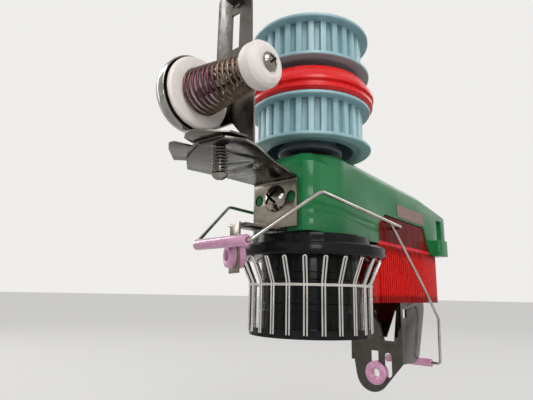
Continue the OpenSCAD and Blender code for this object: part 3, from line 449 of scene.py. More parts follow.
@dataclass(frozen=True)
class Metal(Finish):
    """Bare or plated metal with rolling lines, stains and fine scratches; on the mirror cup the
    strong stain blotches are also a painted dark reflection.
    """

    grain: Grain = Grain.NONE
    brushed: float = 0.1
    stain_and_reflection: float = 0.25
    tarnish_and_reflection: Color = (0.02, 0.015, 0.01)

    def dress(self, graph: Graph) -> None:
        """Lay stains (on the cup also a painted dark reflection), uneven gloss, the rolling lines
        and a slight waviness.
        """
        darker_blotch = mixed(self.color, self.tarnish_and_reflection, self.stain_and_reflection)
        graph.blotches(11, 5, low=darker_blotch, high=self.color, start=0.32, end=0.62)
        graph.gloss(5, 4, low=self.roughness * 0.6, high=self.roughness * 1.5)
        graph.bump(graph.noise(0.28, 2, self.grain.value), strength=self.brushed, depth=0.01)
        graph.bump(graph.noise(9, 2), strength=0.06, depth=0.03)
        graph.set(Metallic=1.0)


@dataclass(frozen=True)
class ArmWithPaintedShade(Metal):
    """Folded sheet with painted shade over its level arm, whose underside faces down."""

    # colour of the painted shade on the level arm
    arm_painted_shade: Color = srgb(86, 84, 79)
    fold: float = 74.6
    fade: float = 1.3

    def dress(self, graph: Graph) -> None:
        """Lay the painted shade over the fold, on the plain sheet."""
        super().dress(graph)
        # painted shade from the fold upward
        graph.cover(graph.height(self.fold, self.fold + self.fade), self.arm_painted_shade)


@dataclass(frozen=True)
class CrossScrew(Metal):
    """Plated domed screw with painted shade in the cross of its head.

    The dome's surface lies just outside a sphere round its heart, and the cross inside it.
    """

    heart: Place = (0.0, 0.0, 0.0)
    reach: float = 4.0
    # colour of the painted shade in the cross recess
    painted_recess_shade: Color = (0.01, 0.009, 0.008)

    def dress(self, graph: Graph) -> None:
        """Lay painted shade inside the sphere, on the plain plating."""
        super().dress(graph)
        # painted shade: dark inside the sphere, where the cross recess lies
        graph.cover(graph.near(self.heart, self.reach, core=0.97), self.painted_recess_shade)


@dataclass(frozen=True)
class Tempered(Finish):
    """Spring wire, bronze with oxide and with a patch of the finish's own colour."""

    patch_at: Place = (12.0, -92.0, 101.0)
    patch_reach: float = 13.0

    def dress(self, graph: Graph) -> None:
        """Lay bronze oxide along the wire and the patch on its lower front."""
        graph.tone(
            graph.noise(7, 3, (1.0, 0.6, 0.6)),
            [
                (0.32, srgb(86, 76, 66)), (0.48, srgb(114, 99, 82)),
                (0.60, srgb(100, 80, 74)), (0.72, srgb(124, 108, 88)),
            ],
        )
        graph.cover(graph.near(self.patch_at, self.patch_reach), self.color)
        graph.gloss(2.2, 3, low=0.18, high=0.34)
        graph.bump(graph.noise(0.35, 2), strength=0.12, depth=0.01)
        graph.set(Metallic=1.0)


@dataclass(frozen=True)
class Moulding(Finish):
    """Moulded plastic with a fine skin."""

    mottle: float = 0.08
    skin: float = 0.1
    coat: float = 0.0
    shine: float = 0.5
    grime: Color = (0.02, 0.02, 0.02)

    def dress(self, graph: Graph) -> None:
        """Lay flow marks, handling dirt and the mould's fine skin."""
        dirty = mixed(self.color, self.grime, self.mottle)
        graph.blotches(12, 5, low=dirty, high=self.lighter(self.mottle * 0.5))
        graph.gloss(6, 4, low=self.roughness * 0.75, high=self.roughness * 1.3)
        graph.bump(graph.noise(0.5, 3), strength=self.skin, depth=0.02)
        graph.bump(graph.noise(8, 2), strength=0.1, depth=0.05)
        graph.set(Coat_Weight=self.coat, Coat_Roughness=0.08, Specular_IOR_Level=self.shine)


@dataclass(frozen=True)
class Acetal(Moulding):
    """White moulding that lets a little light in."""

    def dress(self, graph: Graph) -> None:
        """Add light under the skin to the plain moulding."""
        super().dress(graph)
        graph.set(
            Subsurface_Weight=0.35, Subsurface_Radius=(0.9, 0.8, 0.9), Subsurface_Scale=0.0012
        )


@dataclass(frozen=True)
class Toothed(Moulding):
    """Moulded pulley with painted shade in its tooth gaps."""

    root_r: float = 27.7
    flank: float = 1.2
    # dark teal of the painted shade in the tooth gaps
    dust_and_shade: Color = (0.02, 0.04, 0.05)

    def dress(self, graph: Graph) -> None:
        """Lay painted shade in the tooth gaps, over the plain moulding."""
        super().dress(graph)
        root = self.root_r * MM
        # painted shade: full inside the tooth root, fading out across the flank
        gap = graph.spread(graph.radius(), 0.55, 0.0, start=root, end=root + self.flank * MM)
        graph.cover(gap, mixed(self.color, self.dust_and_shade, 0.7))


@dataclass(frozen=True)
class Ceramic(Finish):
    """Ground oxide ceramic, glossy where yarn and fingers polish it."""

    body: Color = (0.25, 0.05, 0.2)
    bloom: Color = (1.0, 0.9, 1.0)

    def dress(self, graph: Graph) -> None:
        """Lay the body's grain, its specks and the worn gloss."""
        grain = mixed(self.color, self.body, 0.22)
        graph.blotches(4, 4, low=grain, high=mixed(self.color, self.bloom, 0.12))
        specks = graph.spread(graph.cells(0.7), 0.3, 0.0, start=0.05, end=0.3)
        graph.cover(specks, self.darker(0.4))
        graph.gloss(3, 3, low=0.16, high=0.36)
        graph.bump(graph.noise(0.4, 2), strength=0.1, depth=0.01)
        graph.set(
            Coat_Weight=0.5, Coat_Roughness=0.12, Subsurface_Weight=0.15,
            Subsurface_Radius=(0.9, 0.4, 0.7), Subsurface_Scale=0.001,
        )


@dataclass(frozen=True)
class RedCover(Finish):
    """Clear red moulding, darker at its foot, with a painted glint on its ledge and painted shade
    in its window.
    """

    foot: float = 17.0
    top: float = 69.0
    # dark red that the foot and the ledge band darken toward, and the painted shade of the window
    depth: Color = (0.03, 0.0, 0.0)
    # colour of the painted glint on the ledge
    glint: Color = srgb(244, 40, 62)
    # colour of the painted glow in the streaks
    glow: Color = (1.0, 0.3, 0.2)

    def dress(self, graph: Graph) -> None:
        """Lay the red's tone from foot to window with a painted glint on the ledge and painted
        shade in the window, its streaks of painted glow and its gloss.
        """
        deep = mixed(self.color, self.depth, 0.6)
        # painted shade in the window
        window_shade = mixed(self.color, self.depth, 0.86)
        foot = [(0.0, deep), (0.05, deep)]
        ribs = [(0.09, self.color), (0.52, self.color)]
        # a darker band under the ledge, then the painted glint on it
        ledge = [(0.6, deep), (0.635, deep), (0.645, self.glint), (0.668, self.glint)]
        window = [(0.68, window_shade), (1.0, window_shade)]
        graph.tone(graph.height(self.foot, self.top), foot + ribs + ledge + window)
        # streaks of painted glow: lighter red toward the glow colour
        streaks = graph.spread(graph.noise(4, 2, (1, 1, 0.1)), 0.0, 0.2, start=0.5, end=0.75)
        graph.cover(streaks, mixed(self.color, self.glow, 0.15))
        graph.gloss(5, 4, low=0.2, high=0.34)
        graph.bump(graph.noise(6, 1), strength=0.04, depth=0.03)
        graph.set(
            Transmission_Weight=0.06, IOR=1.35, Specular_IOR_Level=0.05, Subsurface_Weight=0.5,
            Subsurface_Radius=(1.0, 0.12, 0.06), Subsurface_Scale=0.004,
        )


@dataclass(frozen=True)
class Glass(Finish):
    """Frosted bulb glass."""

    def dress(self, graph: Graph) -> None:
        """Lay the etched skin of the glass."""
        graph.gloss(0.6, 3, low=0.3, high=0.5)
        graph.bump(graph.noise(0.3, 2), strength=0.2, depth=0.01)
        graph.set(Transmission_Weight=0.6, IOR=1.46)


@dataclass(frozen=True)
class Board(Finish):
    """Lacquered circuit board with the shadows of its tracks."""

    track: Color = srgb(90, 150, 90)

    def dress(self, graph: Graph) -> None:
        """Lay wandering tracks under the lacquer."""
        tracks = graph.wave(2.5, "X", distortion=1.2)
        graph.blotches(5, 2, low=self.color, high=self.lighter(0.05))
        graph.cover(graph.spread(tracks, 0.0, 0.5, start=0.7, end=0.8), self.track)
        graph.bump(tracks, strength=0.1, depth=0.02)


@dataclass(frozen=True)
class Foil(Finish):
    """Blank foil, lighter where it is rubbed."""

    rubbed: Color = srgb(168, 138, 126)

    def dress(self, graph: Graph) -> None:
        """Lay rub marks and the foil's fine tooth."""
        graph.blotches(9, 3, low=self.darker(0.12), high=self.color)
        marks = graph.spread(graph.noise(2.4, 6, (1, 0.35, 1)), 0.0, 0.45, start=0.5, end=0.75)
        graph.cover(marks, self.rubbed)
        graph.gloss(3, 3, low=0.35, high=0.55)
        graph.bump(graph.noise(0.25, 2), strength=0.1, depth=0.01)


@dataclass(frozen=True)
class Yarn(Finish):
    """Spun yarn with a soft hairy skin."""

    def dress(self, graph: Graph) -> None:
        """Lay the twist of the fibres and their sheen."""
        twist = graph.noise(0.18, 3)
        graph.tone(twist, [(0.3, self.darker(0.3)), (0.65, self.color)])
        graph.bump(twist, strength=0.5, depth=0.05)
        graph.set(Sheen_Weight=0.4, Sheen_Roughness=0.4)


GREEN = Enamel("green_enamel", "green_paint", srgb(22, 116, 62))
PLATED = Metal("plated_screw", "bright_steel", srgb(150, 144, 136), 0.16, stain_and_reflection=0.45)
KNOB_CROSS = CrossScrew(
    "plated_knob_screw", PLATED.slot, PLATED.color, PLATED.roughness, stain_and_reflection=PLATED.stain_and_reflection,
    heart=(40.56, -81.0, 104.7), reach=4.25,
)
FRONT_CROSS = CrossScrew(
    "plated_front_screw", PLATED.slot, PLATED.color, PLATED.roughness, stain_and_reflection=PLATED.stain_and_reflection,
    heart=(0.0, -25.49, 67.0), reach=7.6,
)
GROUND = Metal("ground_bearing_steel", "bearing_steel", srgb(176, 178, 182), 0.24, Grain.ALONG_Z)
SATIN = Metal(
    "satin_folded_sheet", "folded_steel", srgb(118, 110, 102), 0.2, Grain.ALONG_X, 0.14, 0.16
)
# lighter copy of the folded steel, with painted shade over its level arm
ARM = ArmWithPaintedShade(
    "folded_sheet_painted_shade", "folded_steel", srgb(136, 129, 118), 0.2, Grain.ALONG_X, 0.14, 0.16
)
POLISHED = Metal(
    "polished_sheet", "polished_steel", srgb(106, 102, 98), 0.22, Grain.ALONG_Z, 0.08, 0.3
)
# darker copy of the polished steel: painted shade on the outlet plate
POLISHED_PAINTED_SHADE = Metal("polished_sheet_painted_shade", "polished_steel", srgb(84, 81, 76), 0.12, Grain.ALONG_Z, 0.06, 0.3)
# strong stain blotches: stains and painted dark reflection on the chrome cup
CUP = Metal("mirror_cup", "cup_chrome", srgb(168, 166, 162), 0.06, stain_and_reflection=0.5)
HARD_CHROME = Metal(
    "hard_chromed_wire", "pin_chrome", srgb(216, 212, 208), 0.14, brushed=0.03, stain_and_reflection=0.15
)
DRAWN = Metal("drawn_wire", "feeler_wire", srgb(186, 180, 174), 0.2, brushed=0.03, stain_and_reflection=0.3)
SMALL_SPRING = Metal("small_spring_wire", "bright_steel", srgb(110, 106, 104), 0.24)
BRONZED = Tempered("tempered_wire", "spring_wire", srgb(88, 50, 62))
WHITE = Acetal("white_acetal", "white_plastic", srgb(229, 221, 216), 0.34, mottle=0.03)
TEAL = Toothed("teal_polyamide", "pulley_plastic", srgb(142, 180, 187), 0.42, mottle=0.1)
RED = Moulding(
    "red_moulding", "red_plastic", srgb(222, 20, 22), 0.26, mottle=0.05, coat=0.06, shine=0.22
)
GREY = Moulding("grey_moulding", "grey_collar", srgb(78, 88, 96), 0.4)
BLACK = Moulding(
    "black_moulding", "black_plastic", srgb(14, 15, 16), 0.13, mottle=0.02, skin=0.04, shine=0.1
)
DARK = Moulding("dark_switch_block", "dark_plastic", srgb(44, 44, 48), 0.5)
RUBBER = Moulding(
    "seal_rubber", "black_rubber", srgb(18, 18, 19), 0.42, mottle=0.02, skin=0.2, shine=0.18
)
PINK = Ceramic("pink_oxide", "pink_ceramic", srgb(198, 134, 168))
COVER = RedCover("clear_red_cover", "red_cover", srgb(204, 22, 18))
BULB = Glass("frosted_bulb", "lamp_glass", srgb(240, 236, 226))
LACQUER = Board("lacquered_board", "circuit_board", srgb(30, 84, 48))
BRASS = Metal("turned_brass", "brass_pins", srgb(206, 172, 96), 0.2)
LABEL = Foil("brown_foil", "label_panel", srgb(124, 94, 86))
IVORY = Yarn("spun_yarn", "yarn", srgb(226, 222, 214), 0.8)


@dataclass(frozen=True)
class Edge:
    """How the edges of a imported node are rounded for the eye.

    A width of 0 leaves them sharp and only smooths what is round. Lengths are in millimetres and
    angles in degrees.
    """

    width: float
    segments: int = 2
    sharp: float = 28.0
    level: float = 0.6
    weld: float = 0.004


SHARP = Edge(0)
SHEET = Edge(0.15)


def soften(node: bpy.types.Object, edge: Edge) -> None:
    """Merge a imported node's loose triangles and round its edges with modifiers.

    Args:
        node: The node's object.
        edge: Width and steps of the rounding.
    """
    for polygon in node.data.polygons:
        polygon.use_smooth = True
    weld = node.modifiers.new("weld", "WELD")
    weld.merge_threshold = edge.weld * MM
    if edge.width > 0:
        flat = node.modifiers.new("flat faces", "DECIMATE")
        flat.decimate_type = "DISSOLVE"
        flat.angle_limit = math.radians(edge.level)
        bevel = node.modifiers.new("rounded edges", "BEVEL")
        bevel.width = edge.width * MM
        bevel.segments = edge.segments
        bevel.limit_method = "ANGLE"
        bevel.angle_limit = math.radians(edge.sharp)
    split = node.modifiers.new("sharp edges", "EDGE_SPLIT")
    split.split_angle = math.radians(edge.sharp)


@dataclass
class Assembly:
    """A group of pieces of one machine part, dressed and built together."""

    frame: dict[str, Any]
    made: list[bpy.types.Object] = field(default_factory=list)

    def dress(self, finish: Finish, edge: Edge, *nodes: str) -> None:
        """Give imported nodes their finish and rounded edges.

        Args:
            finish: Their finish.
            edge: Their rounding.
            nodes: Their names.
        """
        for node in nodes:
            piece = self.frame["nodes"][node]
            piece.data.materials.clear()
            piece.data.materials.append(finish.make())
            soften(piece, edge)

    def add(self, mesh: bpy.types.Mesh, finish: Finish, body: str, node: str) -> bpy.types.Object:
        """Put a new mesh in the scene as a piece of the feeder.

        Args:
            mesh: The mesh, already in the row frame, with the piece's name.
            finish: Its finish.
            body: The body that it rides on.
            node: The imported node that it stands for.

        Returns:
            The new object.
        """
        piece = bpy.data.objects.new(mesh.name, mesh)
        bpy.context.scene.collection.objects.link(piece)
        mesh.materials.clear()
        mesh.materials.append(finish.make())
        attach(piece, body)
        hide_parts(node)
        self.made.append(piece)
        return piece

    def build(self) -> None:
        """Make the assembly's new pieces and dress its nodes."""
        raise NotImplementedError


def rounded_path(points: Sequence[Vector], reach: float, steps: int = 6) -> list[Vector]:
    """A path whose inner corners are bent round.

    Args:
        points: Corners of the path, in metres.
        reach: How far from a corner its bend starts, in metres.
        steps: Steps in each bend.

    Returns:
        The points of the bent path.
    """
    path = [points[0]]
    for before, corner, after in zip(points, points[1:], points[2:]):
        start = corner + (before - corner).normalized() * reach
        end = corner + (after - corner).normalized() * reach
        for step in range(steps + 1):
            share = step / steps
            path.append(
                start * (1 - share) ** 2 + corner * 2 * share * (1 - share) + end * share**2
            )
    path.append(points[-1])
    return path


def wire_mesh(
    name: str, runs: Sequence[Sequence[Vector]], radius: float, sides: int = 12,
    closed: bool = False,
) -> bpy.types.Mesh:
    """Round wire along one or more paths.

    Args:
        name: Name of the mesh.
        runs: The paths, in metres.
        radius: Radius of the wire in millimetres.
        sides: Sides of its section: 8, 12 or 16.
        closed: Whether each path runs back into its start.

    Returns:
        The mesh, with closed ends.
    """
    curve = bpy.data.curves.new(name, "CURVE")
    curve.dimensions = "3D"
    curve.bevel_depth = radius * MM
    curve.bevel_resolution = sides // 4 - 1
    curve.use_fill_caps = True
    curve.twist_mode = "MINIMUM"
    for run in runs:
        spline = curve.splines.new("POLY")
        spline.points.add(len(run) - 1)
        for target, point in zip(spline.points, run):
            target.co = (*point, 1.0)
        spline.use_cyclic_u = closed
    holder = bpy.data.objects.new(name, curve)
    bpy.context.scene.collection.objects.link(holder)
    bpy.context.view_layer.update()
    graph = bpy.context.evaluated_depsgraph_get()
    mesh = bpy.data.meshes.new_from_object(holder.evaluated_get(graph))
    bpy.data.objects.remove(holder)
    bpy.data.curves.remove(curve)
    mesh.name = name
    mesh.shade_smooth()
    return mesh


def turned_mesh(
    name: str, profile: Profile, base: Vector, steps: int, rounding: float
) -> bpy.types.Mesh:
    """Piece turned about an axis along X, made by spinning a closed profile.

    Args:
        name: Name of the mesh.
        profile: Radius and height along the axis of each corner, in millimetres.
        base: Place of height 0, in metres.
        steps: Steps of the turn.
        rounding: Rounding of the profile's corners in millimetres.

    Returns:
        The mesh.
    """
    work = bmesh.new()
    corners = [work.verts.new((radius * MM, 0, height * MM)) for radius, height in profile]
    for pair in zip(corners, corners[1:] + corners[:1]):
        work.edges.new(pair)
    bmesh.ops.bevel(
        work, geom=corners, affect="VERTICES", offset=rounding * MM, segments=4,
        profile=0.5, material=-1, clamp_overlap=True,
    )
    bmesh.ops.spin(
        work, geom=list(work.edges) + list(work.verts), cent=(0, 0, 0), axis=(0, 0, 1),
        angle=math.tau, steps=steps, use_merge=True,
    )
    bmesh.ops.remove_doubles(work, verts=list(work.verts), dist=DOUBLES * MM)
    bmesh.ops.recalc_face_normals(work, faces=list(work.faces))
    turn = Vector((0, 0, 1)).rotation_difference(Vector((1, 0, 0))).to_matrix().to_4x4()
    bmesh.ops.transform(work, matrix=Matrix.Translation(base) @ turn, verts=list(work.verts))
    mesh = bpy.data.meshes.new(name)
    work.to_mesh(mesh)
    work.free()
    mesh.shade_smooth()
    mesh.set_sharp_from_angle(angle=math.radians(TURNED_SHARP))
    return mesh


@dataclass
class YarnWheel(Assembly):
    """The hairpin wheel with its yarn, drum, disc and nut."""

    pins: int = 24
    circle_r: float = 31.831
    wire_r: float = 0.475
    leg: float = 0.7
    phase: float = 3.4
    foot_z: float = 1.8
    kink_z: float = 26.0
    tip_z: float = 37.72
    lean: float = 5.2
    bent: float = 0.98
    yarn_r: float = 0.14
    turns: int = 4
    slack: float = 0.05
    below_kink: float = 0.9
    between: float = 0.03
    wander: float = 0.05
    pin_beat: float = 2.7
    turn_beat: float = 1.9

    def hairpin(self, angle: float) -> list[Vector]:
        """Path of one hairpin.

        Args:
            angle: Where it stands, in radians.

        Returns:
            Its path from foot to foot.
        """
        tip_r = self.circle_r + self.lean
        half = ((self.circle_r, self.foot_z), (self.circle_r, self.kink_z), (tip_r, self.tip_z))
        corners = [Vector((reach, -self.leg, height)) for reach, height in half]
        corners += [Vector((reach, self.leg, height)) for reach, height in reversed(half)]
        path = rounded_path(corners, self.leg * self.bent)
        turn = Matrix.Rotation(angle, 3, "Z")
        return [LAYOUT.at(*(turn @ point)) for point in path]

    def winding(self, index: int) -> list[Vector]:
        """One turn of yarn round the hairpins.

        Args:
            index: Number of the turn, from the top.

        Returns:
            Its closed path.
        """
        reach = self.circle_r + self.wire_r + self.yarn_r + self.slack
        height = self.kink_z - self.below_kink - index * (2 * self.yarn_r + self.between)
        path = []
        for pin in range(self.pins):
            beat = pin * self.pin_beat + index * self.turn_beat
            level = height + self.wander * math.sin(beat)
            for side in (-1, 1):
                angle = math.tau * pin / self.pins + math.radians(self.phase)
                angle += side * self.leg / self.circle_r
                path.append(LAYOUT.at(reach * math.cos(angle), reach * math.sin(angle), level))
        return path

    def build(self) -> None:
        """Bend the hairpins, wind the yarn and dress the drum and disc."""
        step = math.tau / self.pins
        first = math.radians(self.phase)
        pins = [self.hairpin(first + step * index) for index in range(self.pins)]
        self.add(wire_mesh("hairpins", pins, self.wire_r), HARD_CHROME, "wheel", "wheel_pins")
        turns = [self.winding(index) for index in range(self.turns)]
        yarn = wire_mesh("wound_yarn", turns, self.yarn_r, 8, closed=True)
        self.add(yarn, IVORY, "wheel", "yarn_reserve")
        self.dress(BLACK, Edge(0.35, 3), "wheel_disc")
        self.dress(BLACK, SHARP, "wheel_core")
        self.dress(PLATED, Edge(0.2), "wheel_nut")


@dataclass
class Tensioner(Assembly):
    """The disc tensioner: cup, white disc, conical spring, knob and their axle."""

    axis_y: float = -81.0
    axis_z: float = 104.7
    cup_x: float = -8.68
    cup_r: float = 17.6
    cup_depth: float = 8.0
    disc_x: float = -0.38
    disc_r: float = 16.3
    spring_x: float = 2.32
    spring_len: float = 31.0
    spring_big: float = 11.0
    spring_small: float = 7.2
    wire_r: float = 0.65
    coils: float = 12.0
    dead_coils: float = 0.8
    coil_steps: int = 28
    knob_x: float = 33.42
    knob_r: float = 9.3
    knob_len: float = 9.0
    knob_travel: float = 6.0
    axle_r: float = 2.0
    steps: int = 96

    def at(self, x: float) -> Vector:
        """Point on the tensioner's axis, in metres."""
        return LAYOUT.at(x, self.axis_y, self.axis_z)

    def coil(self) -> list[Vector]:
        """Path of the conical spring, whose end turns lie flat.

        Returns:
            The path from the disc to the knob.
        """
        pitch = 2 * self.wire_r
        dead = self.dead_coils
        run = self.spring_len - pitch - 2 * pitch * dead
        path = []
        for index in range(int(self.coils * self.coil_steps) + 1):
            turn = index / self.coil_steps
            live = min(max((turn - dead) / (self.coils - 2 * dead), 0.0), 1.0)
            start = min(turn, dead) * pitch
            end = max(turn - (self.coils - dead), 0.0) * pitch
            along = self.wire_r + start + live * run + end
            share = turn / self.coils
            radius = self.spring_big + (self.spring_small - self.spring_big) * share - self.wire_r
            y = self.axis_y + radius * math.cos(math.tau * turn)
            z = self.axis_z + radius * math.sin(math.tau * turn)
            path.append(LAYOUT.at(self.spring_x + along, y, z))
        return path

    def build_spring(self) -> None:
        """Wind the conical spring."""
        mesh = wire_mesh("conical_spring", [self.coil()], self.wire_r)
        spring = self.add(mesh, BRONZED, "housing", "tension_spring")
        tuple(self.at(self.spring_x))
        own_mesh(spring)

    def turn(
        self, name: str, x: float, profile: Profile, finish: Finish, body: str, node: str,
        rounding: float = 0.3,
    ) -> None:
        """Turn a piece about the tensioner's axis and put it in the scene.

        Args:
            name: Name of the piece.
            x: Place of height 0 along the axis.
            profile: Radius and height of each corner.
            finish: Its finish.
            body: The body that it rides on.
            node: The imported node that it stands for.
            rounding: Rounding of its corners.
        """
        mesh = turned_mesh(name, profile, self.at(x), self.steps, rounding)
        self.add(mesh, finish, body, node)

    def build_cup(self) -> None:
        """Press the chromed cup from sheet."""
        bore, rim, wall = self.axle_r + 0.02, self.cup_r, 0.8
        profile = [
            (bore, 0), (rim - 4.6, 0), (rim - 1.2, 1.2), (rim, 4.4), (rim, self.cup_depth),
            (rim - wall, self.cup_depth), (rim - 0.9, 4.6), (rim - 1.9, 1.9),
            (rim - 4.8, wall), (bore, wall),
        ]
        self.turn("chrome_cup", self.cup_x, profile, CUP, "housing", "tension_cup", 0.35)

    def build_disc(self) -> None:
        """Turn the white disc with its hub."""
        bore, hub, rim = self.axle_r + 0.1, self.axle_r + 2, self.disc_r
        profile = [
            (bore, -3), (hub, -3), (hub, 0), (rim - 0.5, 0), (rim, 0.7), (rim, 1.7),
            (rim - 0.9, 2.5), (self.spring_big + 0.8, 2.6), (bore, 2.6),
        ]
        self.turn("white_disc", self.disc_x, profile, WHITE, "disc", "tension_disc")

    def build_knob(self) -> None:
        """Turn the white knob with the recess for its screw."""
        bore, rim, top, recess = self.axle_r + 0.05, self.knob_r, self.knob_len, 0.25
        profile = [
            (bore, 0), (rim - 2.6, 0), (rim - 0.7, 0.9), (rim, 2.4), (rim, top - 2.6),
            (rim - 1.2, top - 0.9), (rim - 3.2, top), (3.3, top), (3.1, top - recess),
            (bore, top - recess),
        ]
        self.turn("white_knob", self.knob_x, profile, WHITE, "knob", "tension_knob")

    def build(self) -> None:
        """Make the cup, disc, knob and spring, and dress the axle and its screw."""
        self.build_cup()
        self.build_disc()
        self.build_knob()
        self.build_spring()
        self.dress(PLATED, SHEET, "tension_axle")
        self.dress(KNOB_CROSS, SHARP, "knob_screw")


@dataclass
class Feelers(Assembly):
    """The two wire bails with their ceramic tubes."""

    wire_r: float = 0.9
    tube_r: float = 2.5
    tube_len: float = 33.0
    tube_steps: int = 48
    tube_rounding: float = 0.5
    play: float = 0.1
    bend: float = 2.4
    input_half: tuple[Place, ...] = (
        (8.1, 60.4, 61.5), (24.2, 60.4, 61.5), (30.5, -32.0, 65.9), (18.2, -64.0, 41.4),
    )
    output_half: tuple[Place, ...] = (
        (8.1, 51.0, 64.6), (21.2, 51.0, 64.6), (24.0, 86.8, 27.8), (22.4, 113.7, 6.0),
        (22.0, 113.0, -22.6),
    )

    def bail(self, half: Sequence[Place]) -> list[Vector]:
        """Whole path of a bail, mirrored from its right half.

        Args:
            half: Corners of that half, from the pivot down.

        Returns:
            The path from pivot to pivot.
        """
        right = [LAYOUT.at(*point) for point in half]
        left = [Vector((-point.x, point.y, point.z)) for point in reversed(right)]
        return rounded_path(right + left, self.bend * MM, 8)

    def tube(self, name: str, half: Sequence[Place]) -> bpy.types.Mesh:
        """Ceramic tube on the lowest stretch of a bail.

        Args:
            name: Name of the mesh.
            half: Corners of the bail's right half.

        Returns:
            The mesh.
        """
        _, y, z = half[-1]
        bore, outer, end = self.wire_r + self.play, self.tube_r, self.tube_len
        profile = [(bore, 0), (outer, 0), (outer, end), (bore, end)]
        start = LAYOUT.at(-end / 2, y, z)
        return turned_mesh(name, profile, start, self.tube_steps, self.tube_rounding)

    def build(self) -> None:
        """Bend both bails and slide their tubes on."""
        for side, half in (("input", self.input_half), ("output", self.output_half)):
            body = f"{side}_feeler"
            wire = wire_mesh(f"{side}_wire", [self.bail(half)], self.wire_r, 16)
            self.add(wire, DRAWN, body, f"{side}_bail")
            self.add(self.tube(f"{side}_ceramic", half), PINK, body, f"{side}_tube")


@dataclass
class InletArm(Assembly):
    """The front plate, inlet arm, upright and knot catcher."""

    spring_at: tuple[float, float] = (18.0, -82.0)
    spring_low: float = 64.95
    spring_len: float = 11.0
    spring_r: float = 2.9
    spring_wire_r: float = 0.4
    spring_coils: int = 8
    coil_steps: int = 20

    def catcher_coil(self) -> list[Vector]:
        """Path of the small spring under the catcher plates.

        Returns:
            The path from its foot to its head.
        """
        x, y = self.spring_at
        rise = self.spring_len - 2 * self.spring_wire_r
        count = self.spring_coils * self.coil_steps
        path = []
        for index in range(count + 1):
            angle = math.tau * index / self.coil_steps
            across, along = self.spring_r * math.cos(angle), self.spring_r * math.sin(angle)
            height = self.spring_low + self.spring_wire_r + rise * index / count
            path.append(LAYOUT.at(x + across, y + along, height))
        return path

    def build(self) -> None:
        """Wind the small spring and dress the sheets, screws and eyelets."""
        mesh = wire_mesh("small_spring", [self.catcher_coil()], self.spring_wire_r, 8)
        self.add(mesh, SMALL_SPRING, "housing", "catcher_spring")
        self.dress(ARM, SHEET, "inlet_bracket")
        self.dress(SATIN, SHEET, "eyelet_bracket")
        self.dress(POLISHED, SHEET, "upright_plate", "catcher_plate_upper", "catcher_plate_lower")
        self.dress(FRONT_CROSS, Edge(0.12), "bracket_screw")
        self.dress(PLATED, Edge(0.12), "upright_screw", "catcher_screw", "catcher_nut")
        self.dress(PINK, SHARP, "input_eyelet", "entry_eyelet")


@dataclass
class OutletGuide(Assembly):
    """The folded outlet plate with its ceramic ring and screws."""

    def build(self) -> None:
        """Dress the plate, its screws and the ring."""
        # outlet plate in the darker copy of the polished steel, painted shade
        self.dress(POLISHED_PAINTED_SHADE, SHEET, "output_plate")
        self.dress(PLATED, Edge(0.1), "output_plate_screws")
        self.dress(PINK, SHARP, "output_eyelet")


@dataclass
class CastBody(Assembly):
    """The green casting with its cover, lamp, switches, contacts and clamp."""

    def build(self) -> None:
        """Dress the casting and all that it holds."""
        self.dress(GREEN, Edge(0.6, 3, 32), "housing")
        self.dress(GREEN, Edge(0.3, 3, 32), "housing_base")
        self.dress(LABEL, SHARP, "name_panel")
        self.dress(COVER, SHARP, "signal_lens")
        self.dress(BULB, SHARP, "lamp")
        self.dress(LACQUER, SHARP, "lamp_board")
        self.dress(DARK, Edge(0.3), "input_switch", "output_switch", "contact_carrier")
        self.dress(BRASS, SHEET, "contact_pins")
        self.dress(PLATED, Edge(0.25), "cover_screws", "clamp_screw")
        self.dress(GROUND, SHARP, "upper_bearing", "lower_bearing")
        self.dress(RUBBER, SHARP, "shaft_seal")


@dataclass
class DriveStack(Assembly):
    """Pulleys, clutch disc, spindle and what turns with them."""

    def build(self) -> None:
        """Dress the moving pieces over the casting."""
        self.dress(TEAL, Edge(0.3), "lower_pulley", "upper_pulley")
        self.dress(RED, SHARP, "clutch_disc")
        self.dress(GREY, Edge(0.2), "collar")
        self.dress(GROUND, Edge(0.2), "drive_sleeve", "spindle")
        self.dress(PLATED, Edge(0.25), "top_nut")
        self.dress(GROUND, SHARP, "lower_pulley_bearing", "upper_pulley_bearing")


def seen(tree: bpy.types.NodeTree) -> Socket:
    """Mark the rays that show a background: camera, glossy and transmission rays.

    Args:
        tree: The material's or world's nodes.

    Returns:
        1 for such a ray and 0 for any other.
    """
    path = add_node(tree, "LightPath")
    total = path.outputs["Is Camera Ray"]
    for kind in ("Is Glossy Ray", "Is Transmission Ray"):
        larger = add_node(tree, "Math")
        larger.operation = "MAXIMUM"
        tree.links.new(total, larger.inputs[0])
        tree.links.new(path.outputs[kind], larger.inputs[1])
        total = larger.outputs[0]
    return total


@dataclass(frozen=True)
class Lamp:
    """A soft rectangular light: place and size in metres, power in watts."""

    name: str
    place: Place
    size: tuple[float, float]
    power: float


